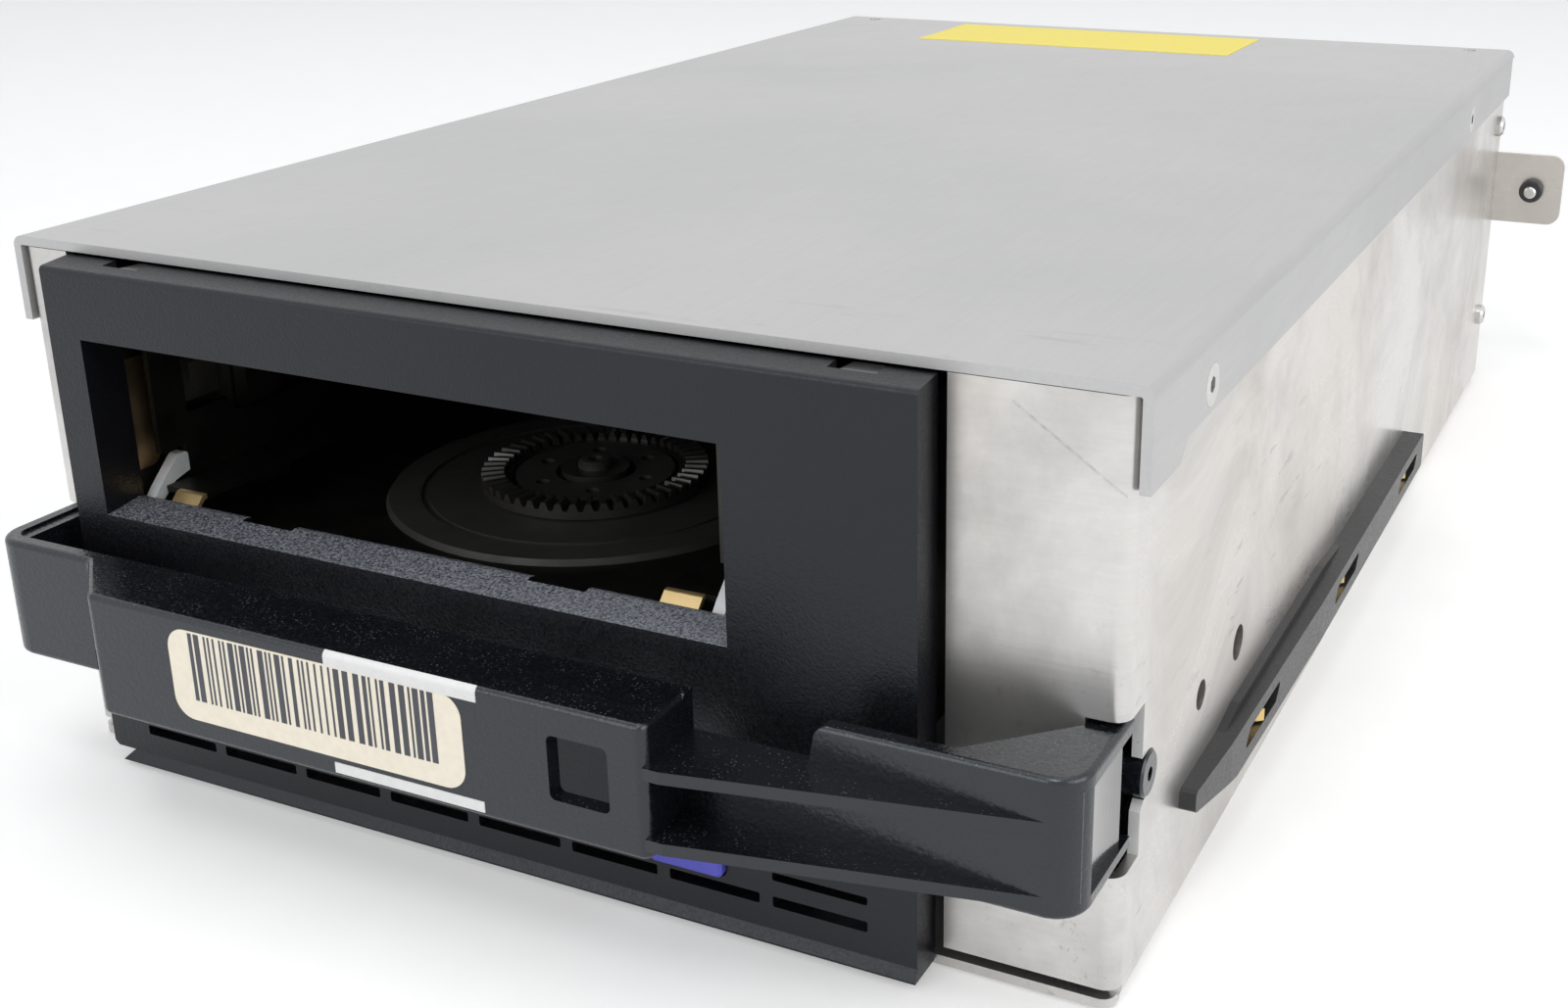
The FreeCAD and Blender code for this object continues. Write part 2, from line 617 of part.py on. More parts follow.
# ================================================================ side rails
def side_rail():
    """Moulded slide rail for the right wall, with a tapered nose and three spring slots."""
    x0 = TRAY_X
    x1 = TRAY_X + RAIL_OUT
    nose = RAIL_FRONT + RAIL_NOSE
    body = side([(RAIL_FRONT, RAIL_LOW + 4.2, 0.8), (nose, RAIL_LOW, 6.0), (RAIL_BACK, RAIL_LOW, 0.8),
                 (RAIL_BACK, RAIL_TOP, 0.8), (RAIL_FRONT, RAIL_TOP, 0.8)], x0, x1)
    crest = side([(RAIL_FRONT + 19, RAIL_TOP - 1), (RAIL_FRONT + 19, RAIL_TOP),
                  (RAIL_FRONT + 27, RAIL_CREST, 4), (RAIL_FRONT + 84, RAIL_CREST, 4),
                  (RAIL_FRONT + 98, RAIL_TOP), (RAIL_FRONT + 98, RAIL_TOP - 1)], x0, x0 + 1.4)
    taper = plan([(x0 + RAIL_TIP_OUT, RAIL_FRONT - 1), (x0 + RAIL_TIP_OUT, RAIL_FRONT),
                  (x0 + RAIL_TIP_OUT + 0.8, nose - 4, 8), (x1, nose + 52), (x1 + 1, nose + 52),
                  (x1 + 1, RAIL_FRONT - 1)], RAIL_LOW - 1, RAIL_CREST + 1)
    rail = union([body, crest]).cut(taper)
    slots = []
    for y in RAIL_SLOTS:
        half = RAIL_SLOT_L / 2
        slots.append(side([(y - half, RAIL_SLOT_Z - RAIL_SLOT_H / 2, 0.6),
                           (y + half - 2.5, RAIL_SLOT_Z - RAIL_SLOT_H / 2, 0.6),
                           (y + half, RAIL_SLOT_Z + RAIL_SLOT_H / 2, 0.6),
                           (y - half + 2.5, RAIL_SLOT_Z + RAIL_SLOT_H / 2, 0.6)],
                          x0 + 0.8, x1 + 1))
    pilots = [rod(RAIL_SCREW_R + SCREW_FIT, 3.0, V(x0 - 0.1, y, RAIL_MID_Z), X_AXIS)
              for y in RAIL_SCREWS]
    return rail.cut(slots + pilots)


def rail_springs():
    """V-shaped leaf springs lying in the slots of the right rail."""
    floor = TRAY_X + 0.8
    low = RAIL_SLOT_Z - RAIL_SLOT_H / 2 + 0.4
    high = RAIL_SLOT_Z + RAIL_SLOT_H / 2 - 0.4
    springs = []
    for y in RAIL_SLOTS:
        run = RAIL_SLOT_L / 2 - 3.2
        rise = RAIL_OUT - 0.8 - SPRING_T - 0.5
        centre = [(y - run, floor), (y - 2.0, floor + 0.4), (y, floor + rise), (y + 2.0, floor + 0.4),
                  (y + run, floor)]
        under = [(x, yy) for yy, x in centre]
        over = [(x + SPRING_T, yy) for yy, x in reversed(centre)]
        springs.append(plan(under + over, low, high))
    return springs


def rail_screws():
    screws = []
    for y in RAIL_SCREWS:
        screw = aim(pan_screw(2.4, 1.5, RAIL_SCREW_R, SHEET + 2.4), V(WALL_IN, y, RAIL_MID_Z), V(-1, 0, 0))
        screws += both_sides(screw)
    return screws


# ================================================================ handle
def handle_form():
    """Outer form of the bail as a solid block, with its long edges rounded."""
    back = LIP_BACK
    form = plan([(-HANDLE_REACH, back), (-HANDLE_REACH, ARM_Y, ARM_CORNER),
                 (BLOCK_L - BLOCK_STEP, ARM_Y, 1.5),
                 (BLOCK_L, BLOCK_Y, 2.0), (BLOCK_R, BLOCK_Y, 1.5), (BLOCK_R, ARM_Y),
                 (HANDLE_REACH, ARM_Y, ARM_CORNER), (HANDLE_REACH, back)], HANDLE_BOTTOM, HANDLE_TOP)
    rims = [e for e in form.Edges if e.BoundBox.ZLength < 1e-6 and e.BoundBox.YMin < back - 1e-3]
    return form.makeFillet(HANDLE_EDGE, rims)


def handle_core():
    """Hollow behind the front wall of the bail."""
    w = HANDLE_WALL
    back = LIP_BACK + 1
    slope = BLOCK_L - BLOCK_STEP
    lean = w * math.tan(math.radians(22.5))
    return plan([(HANDLE_REACH - w, back), (HANDLE_REACH - w, ARM_Y + w, ARM_CORNER - w),
                 (BLOCK_R - w, ARM_Y + w), (BLOCK_R - w, BLOCK_Y + w, 0.8),
                 (BLOCK_L + lean, BLOCK_Y + w, 0.8),
                 (slope + lean, ARM_Y + w, 1.0), (-HANDLE_REACH + w, ARM_Y + w, ARM_CORNER - w),
                 (-HANDLE_REACH + w, back)], HANDLE_BOTTOM - 1, HANDLE_TOP + 1)


def handle_lip(z0, z1, leg):
    """Corner gusset plate of the right arm, from the front wall back into the notch."""
    w = HANDLE_WALL
    inner = TRAY_X - NOTCH_W + 0.3
    return plan([(LOW_ARM_END + 6, ARM_Y + 0.5), (HANDLE_REACH, ARM_Y, ARM_CORNER),
                 (HANDLE_REACH, LIP_BACK, 0.8), (inner, LIP_BACK), (inner, ARM_Y + w + leg),
                 (inner - leg, ARM_Y + w), (LOW_ARM_END + 6, ARM_Y + w)], z0, z1)


def handle_end():
    """Right end plate with the pivot ear; it is set in between the lips."""
    x0 = TRAY_X - NOTCH_W + 0.3
    ear_r = PIN_R + 2.2
    plate = side([(ARM_Y + 1, HANDLE_BOTTOM + 0.5), (LIP_BACK, HANDLE_BOTTOM + 0.5, 1.0),
                  (PIVOT_Y, PIVOT_Z - ear_r, 3.0), (PIVOT_Y + ear_r, PIVOT_Z - ear_r, ear_r - 0.05),
                  (PIVOT_Y + ear_r, PIVOT_Z + ear_r, ear_r - 0.05), (PIVOT_Y, PIVOT_Z + ear_r, 3.0),
                  (LIP_BACK, HANDLE_TOP - 0.5, 1.0), (ARM_Y + 1, HANDLE_TOP - 0.5)],
                 x0, x0 + HANDLE_WALL)
    pin = rod(PIN_R, TRAY_X + PIN_PROUD - x0, V(x0, PIVOT_Y, PIVOT_Z), X_AXIS)
    rim = [e for e in pin.Edges if abs(e.BoundBox.XMin - TRAY_X - PIN_PROUD) < 1e-6]
    pin = pin.makeChamfer(0.35, rim)
    hole = rod(PIN_HOLE_R, 4.0, V(TRAY_X + PIN_PROUD - 3.5, PIVOT_Y, PIVOT_Z), X_AXIS)
    return plate.fuse(pin).cut(hole)


def handle_fin(z_top):
    """Tapered horizontal fin running from the label block out along the right arm."""
    return plan([(BLOCK_R - 1, BLOCK_Y + 0.2), (BLOCK_R + 1.8, BLOCK_Y + 0.2), (FIN_END, ARM_Y + 0.2),
                 (FIN_END, ARM_Y + 1), (BLOCK_R - 1, ARM_Y + 1)], z_top - FIN_T, z_top)


def handle_bail():
    w = HANDLE_WALL
    pocket = [box(HANDLE_REACH - w - 1.0, HANDLE_REACH + 1, ARM_Y + w + 2.0, LIP_BACK + 1,
                  HANDLE_BOTTOM + LIP, HANDLE_TOP - LIP)]
    form = handle_form()
    skin = form.cut(handle_core()).cut(pocket + [mirrored(pocket[0])])
    roof = plan([(BLOCK_L - BLOCK_STEP + 1, ARM_Y + 0.2), (BLOCK_L, BLOCK_Y + 0.5),
                 (BLOCK_R - 0.5, BLOCK_Y + 0.5),
                 (BLOCK_R - 0.5, ARM_Y + w), (BLOCK_L - BLOCK_STEP + 1, ARM_Y + w)],
                HANDLE_TOP - w, HANDLE_TOP)
    stiffeners = []
    for x in (BLOCK_L + 16, BLOCK_L + 40, BLOCK_L + 64):
        stiffeners.append(box(x, x + 1.8, BLOCK_Y + 1, ARM_Y + w, HANDLE_TOP - 14, HANDLE_TOP - 1))
    tongue_x = TARGET_L + 0.55 * TARGET_W
    stiffeners.append(box(tongue_x, tongue_x + 6, BLOCK_Y + 6, ARM_Y + w, TARGET_Z + 5, HANDLE_TOP - 1))
    lips = [handle_lip(HANDLE_BOTTOM, HANDLE_BOTTOM + LIP, WEB_LOW_R),
            handle_lip(HANDLE_TOP - LIP, HANDLE_TOP, WEB_TOP_R),
            mirrored(handle_lip(HANDLE_BOTTOM, HANDLE_BOTTOM + LIP, WEB_L))]
    fins = [handle_fin(FIN_TOP_Z), handle_fin(FIN_LOW_Z)]
    inside = [piece.common(form) for piece in [roof] + stiffeners + lips]
    bail = union([skin] + inside + both_sides(handle_end()) + fins)
    top = HANDLE_TOP
    low_arm = front([(BLOCK_R + 0.01, FIN_TOP_Z), (LOW_ARM_END - 1.2, FIN_TOP_Z, 1.0),
                     (LOW_ARM_END, top, 2.0),
                     (LOW_ARM_END + 2.5, top), (LOW_ARM_END + 2.5, top + 1), (BLOCK_R + 0.01, top + 1)],
                    ARM_Y - 1, ARM_Y + w + 1)
    target = front_rect(TARGET_L, TARGET_Z, TARGET_W, TARGET_H, BLOCK_Y - 1, BLOCK_Y + w + 1, 1.0)
    corner = front([(BLOCK_L - BLOCK_STEP - 1.5, HANDLE_BOTTOM - 1),
                    (BLOCK_L - BLOCK_STEP + 6, HANDLE_BOTTOM - 1),
                    (BLOCK_L - BLOCK_STEP - 1.5, HANDLE_BOTTOM + 4)], BLOCK_Y - 1, ARM_Y + w + 1)
    return bail.cut([low_arm, target, corner])


def handle_label():
    return front_rect(LABEL_L, LABEL_Z, LABEL_W, LABEL_H, BLOCK_Y - LABEL_T, BLOCK_Y, LABEL_CORNER)


# ================================================================ drive: bezel and button
def drive_bezel():
    right = BEZEL_L + BEZEL_W
    body_low = BEZEL_LOW + BEZEL_LIP_H
    shell = side([(BEZEL_FRONT, body_low), (BEZEL_FRONT, BEZEL_TOP, 0.8),
                  (BEZEL_BACK, BEZEL_TOP + BEZEL_DRAFT),
                  (BEZEL_BACK, body_low)], BEZEL_L, right)
    c = BEZEL_CHAMFER
    trim = front([(BEZEL_L + c, body_low - 1), (BEZEL_L + c, body_low), (BEZEL_L, body_low + c),
                  (BEZEL_L, BEZEL_TOP + 2),
                  (right, BEZEL_TOP + 2), (right, body_low - 1)], BEZEL_FRONT - 1, BEZEL_BACK + 1)
    shell = shell.common(trim)
    hollow = box(BEZEL_L + BEZEL_WALL + 2, right - BEZEL_WALL, BEZEL_FRONT + BEZEL_WALL, 1,
                 body_low + BEZEL_WALL, BEZEL_TOP - BEZEL_WALL)
    shell = shell.cut(hollow)
    lip = side([(BEZEL_FRONT + 0.6, body_low + 0.3), (BEZEL_FRONT - 0.7, BEZEL_LOW + 0.3),
                (BEZEL_FRONT - 0.7, BEZEL_LOW),
                (BEZEL_LIP_BACK, BEZEL_LOW), (BEZEL_LIP_BACK, body_low + 0.3)], BEZEL_L, right)
    tip = BEZEL_L + LIP_TIP
    lip = lip.cut(front([(BEZEL_L - 1, BEZEL_LOW - 1), (tip, BEZEL_LOW - 1), (tip, BEZEL_LOW),
                         (tip + LIP_SLANT, body_low + 0.4),
                         (BEZEL_L - 1, body_low + 0.4)], BEZEL_FRONT - 2, BEZEL_BACK + 1))
    w = TUNNEL_WALL
    tunnel = box(WINDOW_L - w, WINDOW_L + WINDOW_W + w, BEZEL_FRONT + 1, TUNNEL_BACK,
                 WINDOW_LOW - w, WINDOW_LOW + WINDOW_H + w)
    bezel = union([shell, lip, tunnel])
    sill = side([(BEZEL_FRONT - 1, WINDOW_LOW), (BEZEL_FRONT, WINDOW_LOW),
                 (TUNNEL_BACK - 1.0, WINDOW_LOW + RAMP_RISE),
                 (TUNNEL_BACK + 1, WINDOW_LOW + RAMP_RISE - 0.5), (TUNNEL_BACK + 1, WINDOW_LOW + WINDOW_H),
                 (BEZEL_FRONT - 1, WINDOW_LOW + WINDOW_H)], WINDOW_L, WINDOW_L + WINDOW_W)
    cutters = [sill]
    for x in RAMP_NOTCH_X:
        cutters.append(box(x, x + RAMP_NOTCH_W, TUNNEL_BACK - RAMP_NOTCH_D, TUNNEL_BACK + 1,
                           WINDOW_LOW - w - 1, WINDOW_LOW + 2))
    for k in range(VENT_COUNT):
        cutters.append(front_rect(VENT_X + k * VENT_PITCH, VENT_Z, VENT_W, VENT_H, BEZEL_FRONT - 1,
                                  BEZEL_BACK + 1, 0.3))
    last = VENT_X + (VENT_COUNT - 1) * VENT_PITCH
    cutters.append(front_rect(last, TOP_VENT_Z, VENT_W, TOP_VENT_H, BEZEL_FRONT - 1, BEZEL_BACK + 1, 0.3))
    for x in CLIP_X:
        cutters.append(box(x - CLIP_W / 2, x + CLIP_W / 2, BEZEL_BACK - CLIP_D, BEZEL_BACK + 1,
                           BEZEL_TOP - BEZEL_WALL - 1, BEZEL_TOP + 2))
    hw = BUTTON_W / 2 + BUTTON_GAP
    hh = BUTTON_H / 2 + BUTTON_GAP
    cutters.append(front_rect(BUTTON_X - hw, BUTTON_Z - hh, 2 * hw, 2 * hh, BEZEL_FRONT - 1,
                              BEZEL_FRONT + BEZEL_WALL + 1, 1.3))
    for x in LIGHT_X:
        cutters.append(rod(LIGHT_R + 0.1, BEZEL_WALL + 2, V(x, BEZEL_FRONT - 1, BUTTON_Z), Y_AXIS))
    return bezel.cut(cutters)


def bezel_clips():
    """Grey hooks of the drive frame that show in the two notches of the bezel's top edge."""
    clips = []
    for x in CLIP_X:
        half = CLIP_W / 2 - 0.4
        clips.append(side([(BEZEL_BACK - CLIP_D + 0.3, BEZEL_TOP - 2.6),
                           (BEZEL_BACK - CLIP_D + 0.3, BEZEL_TOP - 0.6, 0.4),
                           (DRIVE_Y + 4.0, DRIVE_TOP + 1.0), (DRIVE_Y + 4.0, DRIVE_TOP),
                           (DRIVE_Y, DRIVE_TOP),
                           (DRIVE_Y - 0.2, BEZEL_TOP - 2.6)], x - half, x + half))
    return clips


def unload_button():
    face = BEZEL_FRONT - BUTTON_PROUD
    seat = BEZEL_FRONT + BEZEL_WALL
    cap = front_rect(BUTTON_X - BUTTON_W / 2, BUTTON_Z - BUTTON_H / 2, BUTTON_W, BUTTON_H, face, seat + 0.4,
                     1.0)
    rim = [e for e in cap.Edges if abs(e.BoundBox.YMax - face) < 1e-6]
    cap = cap.makeChamfer(0.4, rim)
    collar = front_rect(BUTTON_X - BUTTON_W / 2 - 1.2, BUTTON_Z - BUTTON_H / 2 - 1.2, BUTTON_W + 2.4,
                        BUTTON_H + 2.4,
                        seat + 0.1, seat + 0.8, 1.0)
    plunger = rod(1.6, SWITCH_FACE - BUTTON_TRAVEL - 0.1 - seat, V(BUTTON_X, seat, BUTTON_Z), Y_AXIS)
    return union([cap, collar, plunger])


def button_switch():
    body = box(BUTTON_X - 3, BUTTON_X + 3, SWITCH_FACE + 0.9, FRONT_BOARD_Y, BUTTON_Z - 3, BUTTON_Z + 3)
    stem = rod(1.7, 1.2, V(BUTTON_X, SWITCH_FACE, BUTTON_Z), Y_AXIS)
    return union([body, stem])


def status_lights():
    pipes = []
    for x in LIGHT_X:
        pipe = rod(LIGHT_R, FRONT_BOARD_Y - 1.2 - BEZEL_FRONT + 0.2, V(x, BEZEL_FRONT - 0.2, BUTTON_Z),
                   Y_AXIS)
        lamp = box(x - 1.2, x + 1.2, FRONT_BOARD_Y - 1.2, FRONT_BOARD_Y, BUTTON_Z - 0.9, BUTTON_Z + 0.9)
        pipes.append(pipe.fuse(lamp))
    return pipes


def front_board():
    return box(8, 46, FRONT_BOARD_Y, FRONT_BOARD_Y + BOARD_T, BUTTON_Z - 6, BUTTON_Z + 9)


# ================================================================ drive: structure
def drive_base():
    """Die-cast lower frame: floor, walls, bosses and stiffening ribs."""
    low = DRIVE_Z
    outer = box(DRIVE_L, DRIVE_R, DRIVE_Y, DRIVE_D, low, DECK_LOW)
    edges = [e for e in outer.Edges if e.BoundBox.ZLength > DECK_LOW - low - 1]
    outer = outer.makeFillet(1.5, edges)
    hollow = box(CAST_IN_L, CAST_IN_R, DRIVE_Y + CAST_WALL, DRIVE_D - CAST_WALL, low + CAST_FLOOR,
                 DECK_LOW + 1)
    base = outer.cut(hollow)
    bosses = []
    for x, y in SLED_SCREW_SPOTS:
        bosses.append(rod(4.5, 8.0, V(x, y, low), Z_AXIS))
    for x, y in MAIN_BOARD_POSTS:
        bosses.append(rod(3.0, MAIN_BOARD_Z - low, V(x, y, low), Z_AXIS))
    ribs = [box(CAST_IN_L - 1, CAST_IN_R + 1, y, y + 2, low + 1, low + CAST_FLOOR + 1.2) for y in (30.0,
                                                                                                   66.0,
                                                                                                   110.0,
                                                                                                   158.0)]
    base = union([base] + bosses + ribs)
    cutters = [box(6, 48, DRIVE_Y - 1, FRONT_BOARD_Y, BUTTON_Z - 5, BUTTON_Z + 7.5)]
    for x, y in SLED_SCREW_SPOTS:
        cutters.append(rod(SCREW_R + SCREW_FIT, 6.0, V(x, y, low - 1), Z_AXIS))
    for k in range(5):
        y0 = 24 + 34 * k
        panel = [(y0, 16, 3), (y0 + 20, 16, 3), (y0 + 20, 28, 3), (y0, 28, 3)]
        cutters.append(side(panel, DRIVE_R - 1.2, DRIVE_R + 1))
        cutters.append(side(panel, DRIVE_L - 1, DRIVE_L + 1.2))
    cutters.append(box(REAR_PLUG_X - REAR_PLUG_W / 2 - 0.4, REAR_PLUG_X + REAR_PLUG_W / 2 + 0.4,
                       DRIVE_D - CAST_WALL - 1, DRIVE_D + 1, REAR_PLUG_Z - 0.4,
                       REAR_PLUG_Z + REAR_PLUG_H + 0.4))
    return base.cut(cutters)


def mechanism_deck():
    """Deck plate that carries both reel motors, the tape guides and the loader."""
    deck = box(DRIVE_L, DRIVE_R, DRIVE_Y, DRIVE_D, DECK_LOW, DECK_Z)
    holes = [rod(MOTOR_CAN_R + 0.3, DECK_T + 2, V(SLOT_X, REEL_Y, DECK_LOW - 1), Z_AXIS),
             rod(MOTOR_CAN_R + 0.3, DECK_T + 2, V(SLOT_X, TAKEUP_Y, DECK_LOW - 1), Z_AXIS),
             plan([(32, 112, 4), (58, 112, 4), (58, 190, 4), (32, 190, 4)], DECK_LOW - 1, DECK_Z + 1)]
    slots = [plan([(x - 5, y - 1.5, 1.4), (x + 5, y - 1.5, 1.4), (x + 5, y + 1.5, 1.4),
                   (x - 5, y + 1.5, 1.4)],
                  DECK_LOW - 1, DECK_Z + 1) for x, y in ((50, 20), (50, 88))]
    return deck.cut(holes + slots)


def carriage_guides():
    """Four posts on the deck; the carriage slides up and down between them."""
    posts = []
    for x0 in (SLOT_X - CARRIAGE_HALF - POST_GAP - POST_T, SLOT_X + CARRIAGE_HALF + POST_GAP):
        for y0 in POST_Y:
            posts.append(box(x0, x0 + POST_T, y0, y0 + POST_L, DECK_Z, POST_TOP))
    return posts


def drive_top_cover():
    """Thin steel lid of the drive: an inverted tray that stands on the deck."""
    t = TOP_SHEET
    points = [(DRIVE_L, DECK_Z), (DRIVE_L, DRIVE_TOP, 1.4), (DRIVE_R, DRIVE_TOP, 1.4), (DRIVE_R, DECK_Z),
              (DRIVE_R - t, DECK_Z), (DRIVE_R - t, DRIVE_TOP - t, 0.4), (DRIVE_L + t, DRIVE_TOP - t, 0.4),
              (DRIVE_L + t, DECK_Z)]
    shell = front(points, DRIVE_Y, DRIVE_D)
    back = box(DRIVE_L + 0.5, DRIVE_R - 0.5, DRIVE_D - t, DRIVE_D, DECK_Z, DRIVE_TOP - 0.5)
    brow_low = WINDOW_LOW + WINDOW_H + TUNNEL_WALL + 0.4
    brow = box(DRIVE_L + 0.5, DRIVE_R - 0.5, DRIVE_Y, DRIVE_Y + t, brow_low, DRIVE_TOP - 0.5)
    cheek = box(WINDOW_L + WINDOW_W + TUNNEL_WALL + 0.4, DRIVE_R - 0.5, DRIVE_Y, DRIVE_Y + t, DECK_Z,
                brow_low + 1)
    lid = union([shell, back, brow, cheek])
    cutters = []
    for k in range(9):
        x = DRIVE_L + 12 + 13.5 * k
        for z in (DECK_Z + 10, DECK_Z + 18):
            cutters.append(front_rect(x, z, 8.0, 3.0, DRIVE_D - t - 1, DRIVE_D + 1, 1.4))
    for y in (60.0, 140.0):
        cutters.append(plan([(-60, y, 3), (40, y, 3), (40, y + 40, 3), (-60, y + 40, 3)], DRIVE_TOP - 0.3,
                            DRIVE_TOP + 1))
    return lid.cut(cutters)


def sled_screws():
    return [aim(countersunk_screw(SHEET + 4.4), V(x, y, 0), V(0, 0, -1)) for x, y in SLED_SCREW_SPOTS]


# ================================================================ drive: loader
def carriage_roof():
    """Top plate of the cage that takes the cartridge and lowers it on to the reel clutch."""
    plate = box(SLOT_X - CARRIAGE_HALF, SLOT_X + CARRIAGE_HALF, CARRIAGE_FRONT, CARRIAGE_BACK,
                CARRIAGE_TOP - CARRIAGE_T, CARRIAGE_TOP)
    window = plan([(SLOT_X - 34, 26, 6), (SLOT_X + 34, 26, 6), (SLOT_X + 34, 80, 6), (SLOT_X - 34, 80, 6)],
                  CARRIAGE_TOP - 2, CARRIAGE_TOP + 1)
    mouth = plan([(SLOT_X - 44, 0), (SLOT_X + 44, 0), (SLOT_X + 36, 14, 4), (SLOT_X - 36, 14, 4)],
                 CARRIAGE_TOP - 2, CARRIAGE_TOP + 1)
    return plate.cut([window, mouth])


def carriage_sides():
    """Side walls of the cage, each with a floor strip that carries the cartridge's edge."""
    half = CARRIAGE_HALF
    wall_top = CARRIAGE_TOP - CARRIAGE_T
    strip = half - CARRIAGE_T - CARRIAGE_LEDGE
    points = [(half, CARRIAGE_LOW), (half, wall_top), (half - CARRIAGE_T, wall_top),
              (half - CARRIAGE_T, CARRIAGE_LOW + CARRIAGE_T), (strip, CARRIAGE_LOW + CARRIAGE_T),
              (strip, CARRIAGE_LOW)]
    wall = front(points, CARRIAGE_FRONT, CARRIAGE_BACK)
    gate = side([(22, 54, 4), (84, 54, 4), (84, 66, 4), (22, 66, 4)], half - CARRIAGE_T - 1, half + 1)
    notch = box(SLOT_HALF - 0.3, half + 1, CARRIAGE_FRONT - 1, PRONG_BACK, CARRIAGE_LOW - 1, PRONG_TOP)
    wall = wall.cut([gate, notch])
    room = SENSOR_ROOM
    view = box(-half - 1, -half + CARRIAGE_T + 1, SENSOR_Y - room, SENSOR_Y + SENSOR_W + room,
               SENSOR_Z - room, SENSOR_Z + SENSOR_W + room + 0.5)
    sides = [wall, mirrored(wall).cut(view)]
    for piece in sides:
        piece.translate(V(SLOT_X, 0, 0))
    return sides


def carriage_prongs():
    """White nylon fingers at the front corners; they lean back along the cartridge's path."""
    prongs = []
    inner = SLOT_HALF - 0.15
    profile = [(2.8, 44.6, 0.5), (4.6, 43.9, 0.5), (8.2, 46.8, 1.0), (PRONG_BACK, 47.6),
               (PRONG_BACK, 51.0, 0.8),
               (9.4, 51.0, 1.0), (4.6, 46.6, 1.0)]
    for x0 in (SLOT_X - inner - PRONG_T, SLOT_X + inner):
        prongs.append(side(profile, x0, x0 + PRONG_T))
    return prongs


def carriage_tabs():
    """Gold-plated lead-in lips bent down from the front of the floor strips."""
    tabs = []
    top = CARRIAGE_LOW + CARRIAGE_T
    profile = [(2.8, top - 2.3, 0.3), (5.2, top, 0.6), (TAB_BACK, top), (TAB_BACK, top - 0.8),
               (5.5, top - 0.8, 0.4), (3.4, top - 2.8, 0.3)]
    strip = SLOT_HALF - CARRIAGE_LEDGE
    for x0, x1 in ((SLOT_X - strip - 5.6, SLOT_X - strip), (SLOT_X + strip, SLOT_X + strip + 6.4)):
        tabs.append(side(profile, x0, x1))
    return tabs


def side_spring():
    """Bronze leaf on the drive's left cheek, beside the slot."""
    x = DRIVE_L + TOP_SHEET
    leaf = side([(2.6, 49.0, 1.5), (9.5, 49.0, 1.5), (9.5, 68.0, 1.5), (2.6, 68.0, 1.5)], x, x + 0.4)
    return leaf


def slot_sensor():
    """Small slotted optical sensor on the left cheek."""
    x = DRIVE_L + TOP_SHEET
    back = SENSOR_Y + SENSOR_W
    top = SENSOR_Z + SENSOR_W
    corners = [(SENSOR_Y, SENSOR_Z, 0.5), (back, SENSOR_Z, 0.5), (back, top, 0.5), (SENSOR_Y, top, 0.5)]
    body = side(corners, x, x + SENSOR_T)
    slit_y = SENSOR_Y + 1.6
    return body.cut(box(x + 1.8, x + SENSOR_T + 1, slit_y, slit_y + 1.0, SENSOR_Z + 1.5, top - 1.2))


# ================================================================ drive: reels
def motor_housing(y, flange_r):
    """Flanged can of a reel motor, hung in the deck; its bore carries the spindle."""
    flange_top = DECK_Z + MOTOR_FLANGE_T
    flange = Part.makeCone(flange_r, flange_r - 0.6, MOTOR_FLANGE_T, V(SLOT_X, y, DECK_Z), Z_AXIS)
    can = rod(MOTOR_CAN_R, MOTOR_CAN_H + DECK_T, V(SLOT_X, y, DECK_LOW - MOTOR_CAN_H), Z_AXIS)
    bore = rod(SPINDLE_R + BEARING_FIT, MOTOR_CAN_H + DECK_T + 4, V(SLOT_X, y, DECK_LOW - MOTOR_CAN_H + 2),
               Z_AXIS)
    groove = tube(flange_r - 6, flange_r - 7.2, 1, V(SLOT_X, y, flange_top - 0.4), Z_AXIS)
    housing = flange.fuse(can).removeSplitter().cut([bore, groove])
    return housing


def reel_clutch():
    """Crown-toothed clutch disc that drives the cartridge reel."""
    centre = V(SLOT_X, REEL_Y, 0)
    low = DECK_Z + MOTOR_FLANGE_T + 0.3
    tooth_root = CLUTCH_TOP - CLUTCH_TOOTH_H
    disc = rod(CLUTCH_R, tooth_root - low, centre + V(0, 0, low), Z_AXIS)
    dish = rod(CLUTCH_TOOTH_IN - 1.2, 1.0, centre + V(0, 0, tooth_root - 0.8), Z_AXIS)
    boss = rod(6.0, 1.6, centre + V(0, 0, tooth_root - 0.8), Z_AXIS)
    spindle = rod(SPINDLE_R, low - (DECK_LOW - MOTOR_CAN_H + 3) + 0.5,
                  centre + V(0, 0, DECK_LOW - MOTOR_CAN_H + 3), Z_AXIS)
    pitch = 360.0 / CLUTCH_TEETH
    half_in = CLUTCH_TOOTH_IN * math.tan(math.radians(pitch * 0.36))
    half_out = CLUTCH_R * math.tan(math.radians(pitch * 0.36))
    teeth = []
    for k in range(CLUTCH_TEETH):
        roots = []
        for radius, half in ((CLUTCH_TOOTH_IN, half_in), (CLUTCH_R - 0.15, half_out)):
            p = [V(radius, -half, tooth_root - 0.1), V(radius, half, tooth_root - 0.1),
                 V(radius, half * 0.45, CLUTCH_TOP), V(radius, -half * 0.45, CLUTCH_TOP)]
            roots.append(Part.makePolygon(p + [p[0]]))
        tooth = Part.makeLoft(roots, True, True)
        tooth.rotate(V(0, 0, 0), Z_AXIS, pitch * k)
        tooth.translate(centre)
        teeth.append(tooth)
    body = disc.cut(dish).fuse([boss, spindle]).removeSplitter()
    thread = rod(1.45, 6.0, centre + V(0, 0, tooth_root - 5.0), Z_AXIS)
    return body.fuse(teeth).cut(thread)


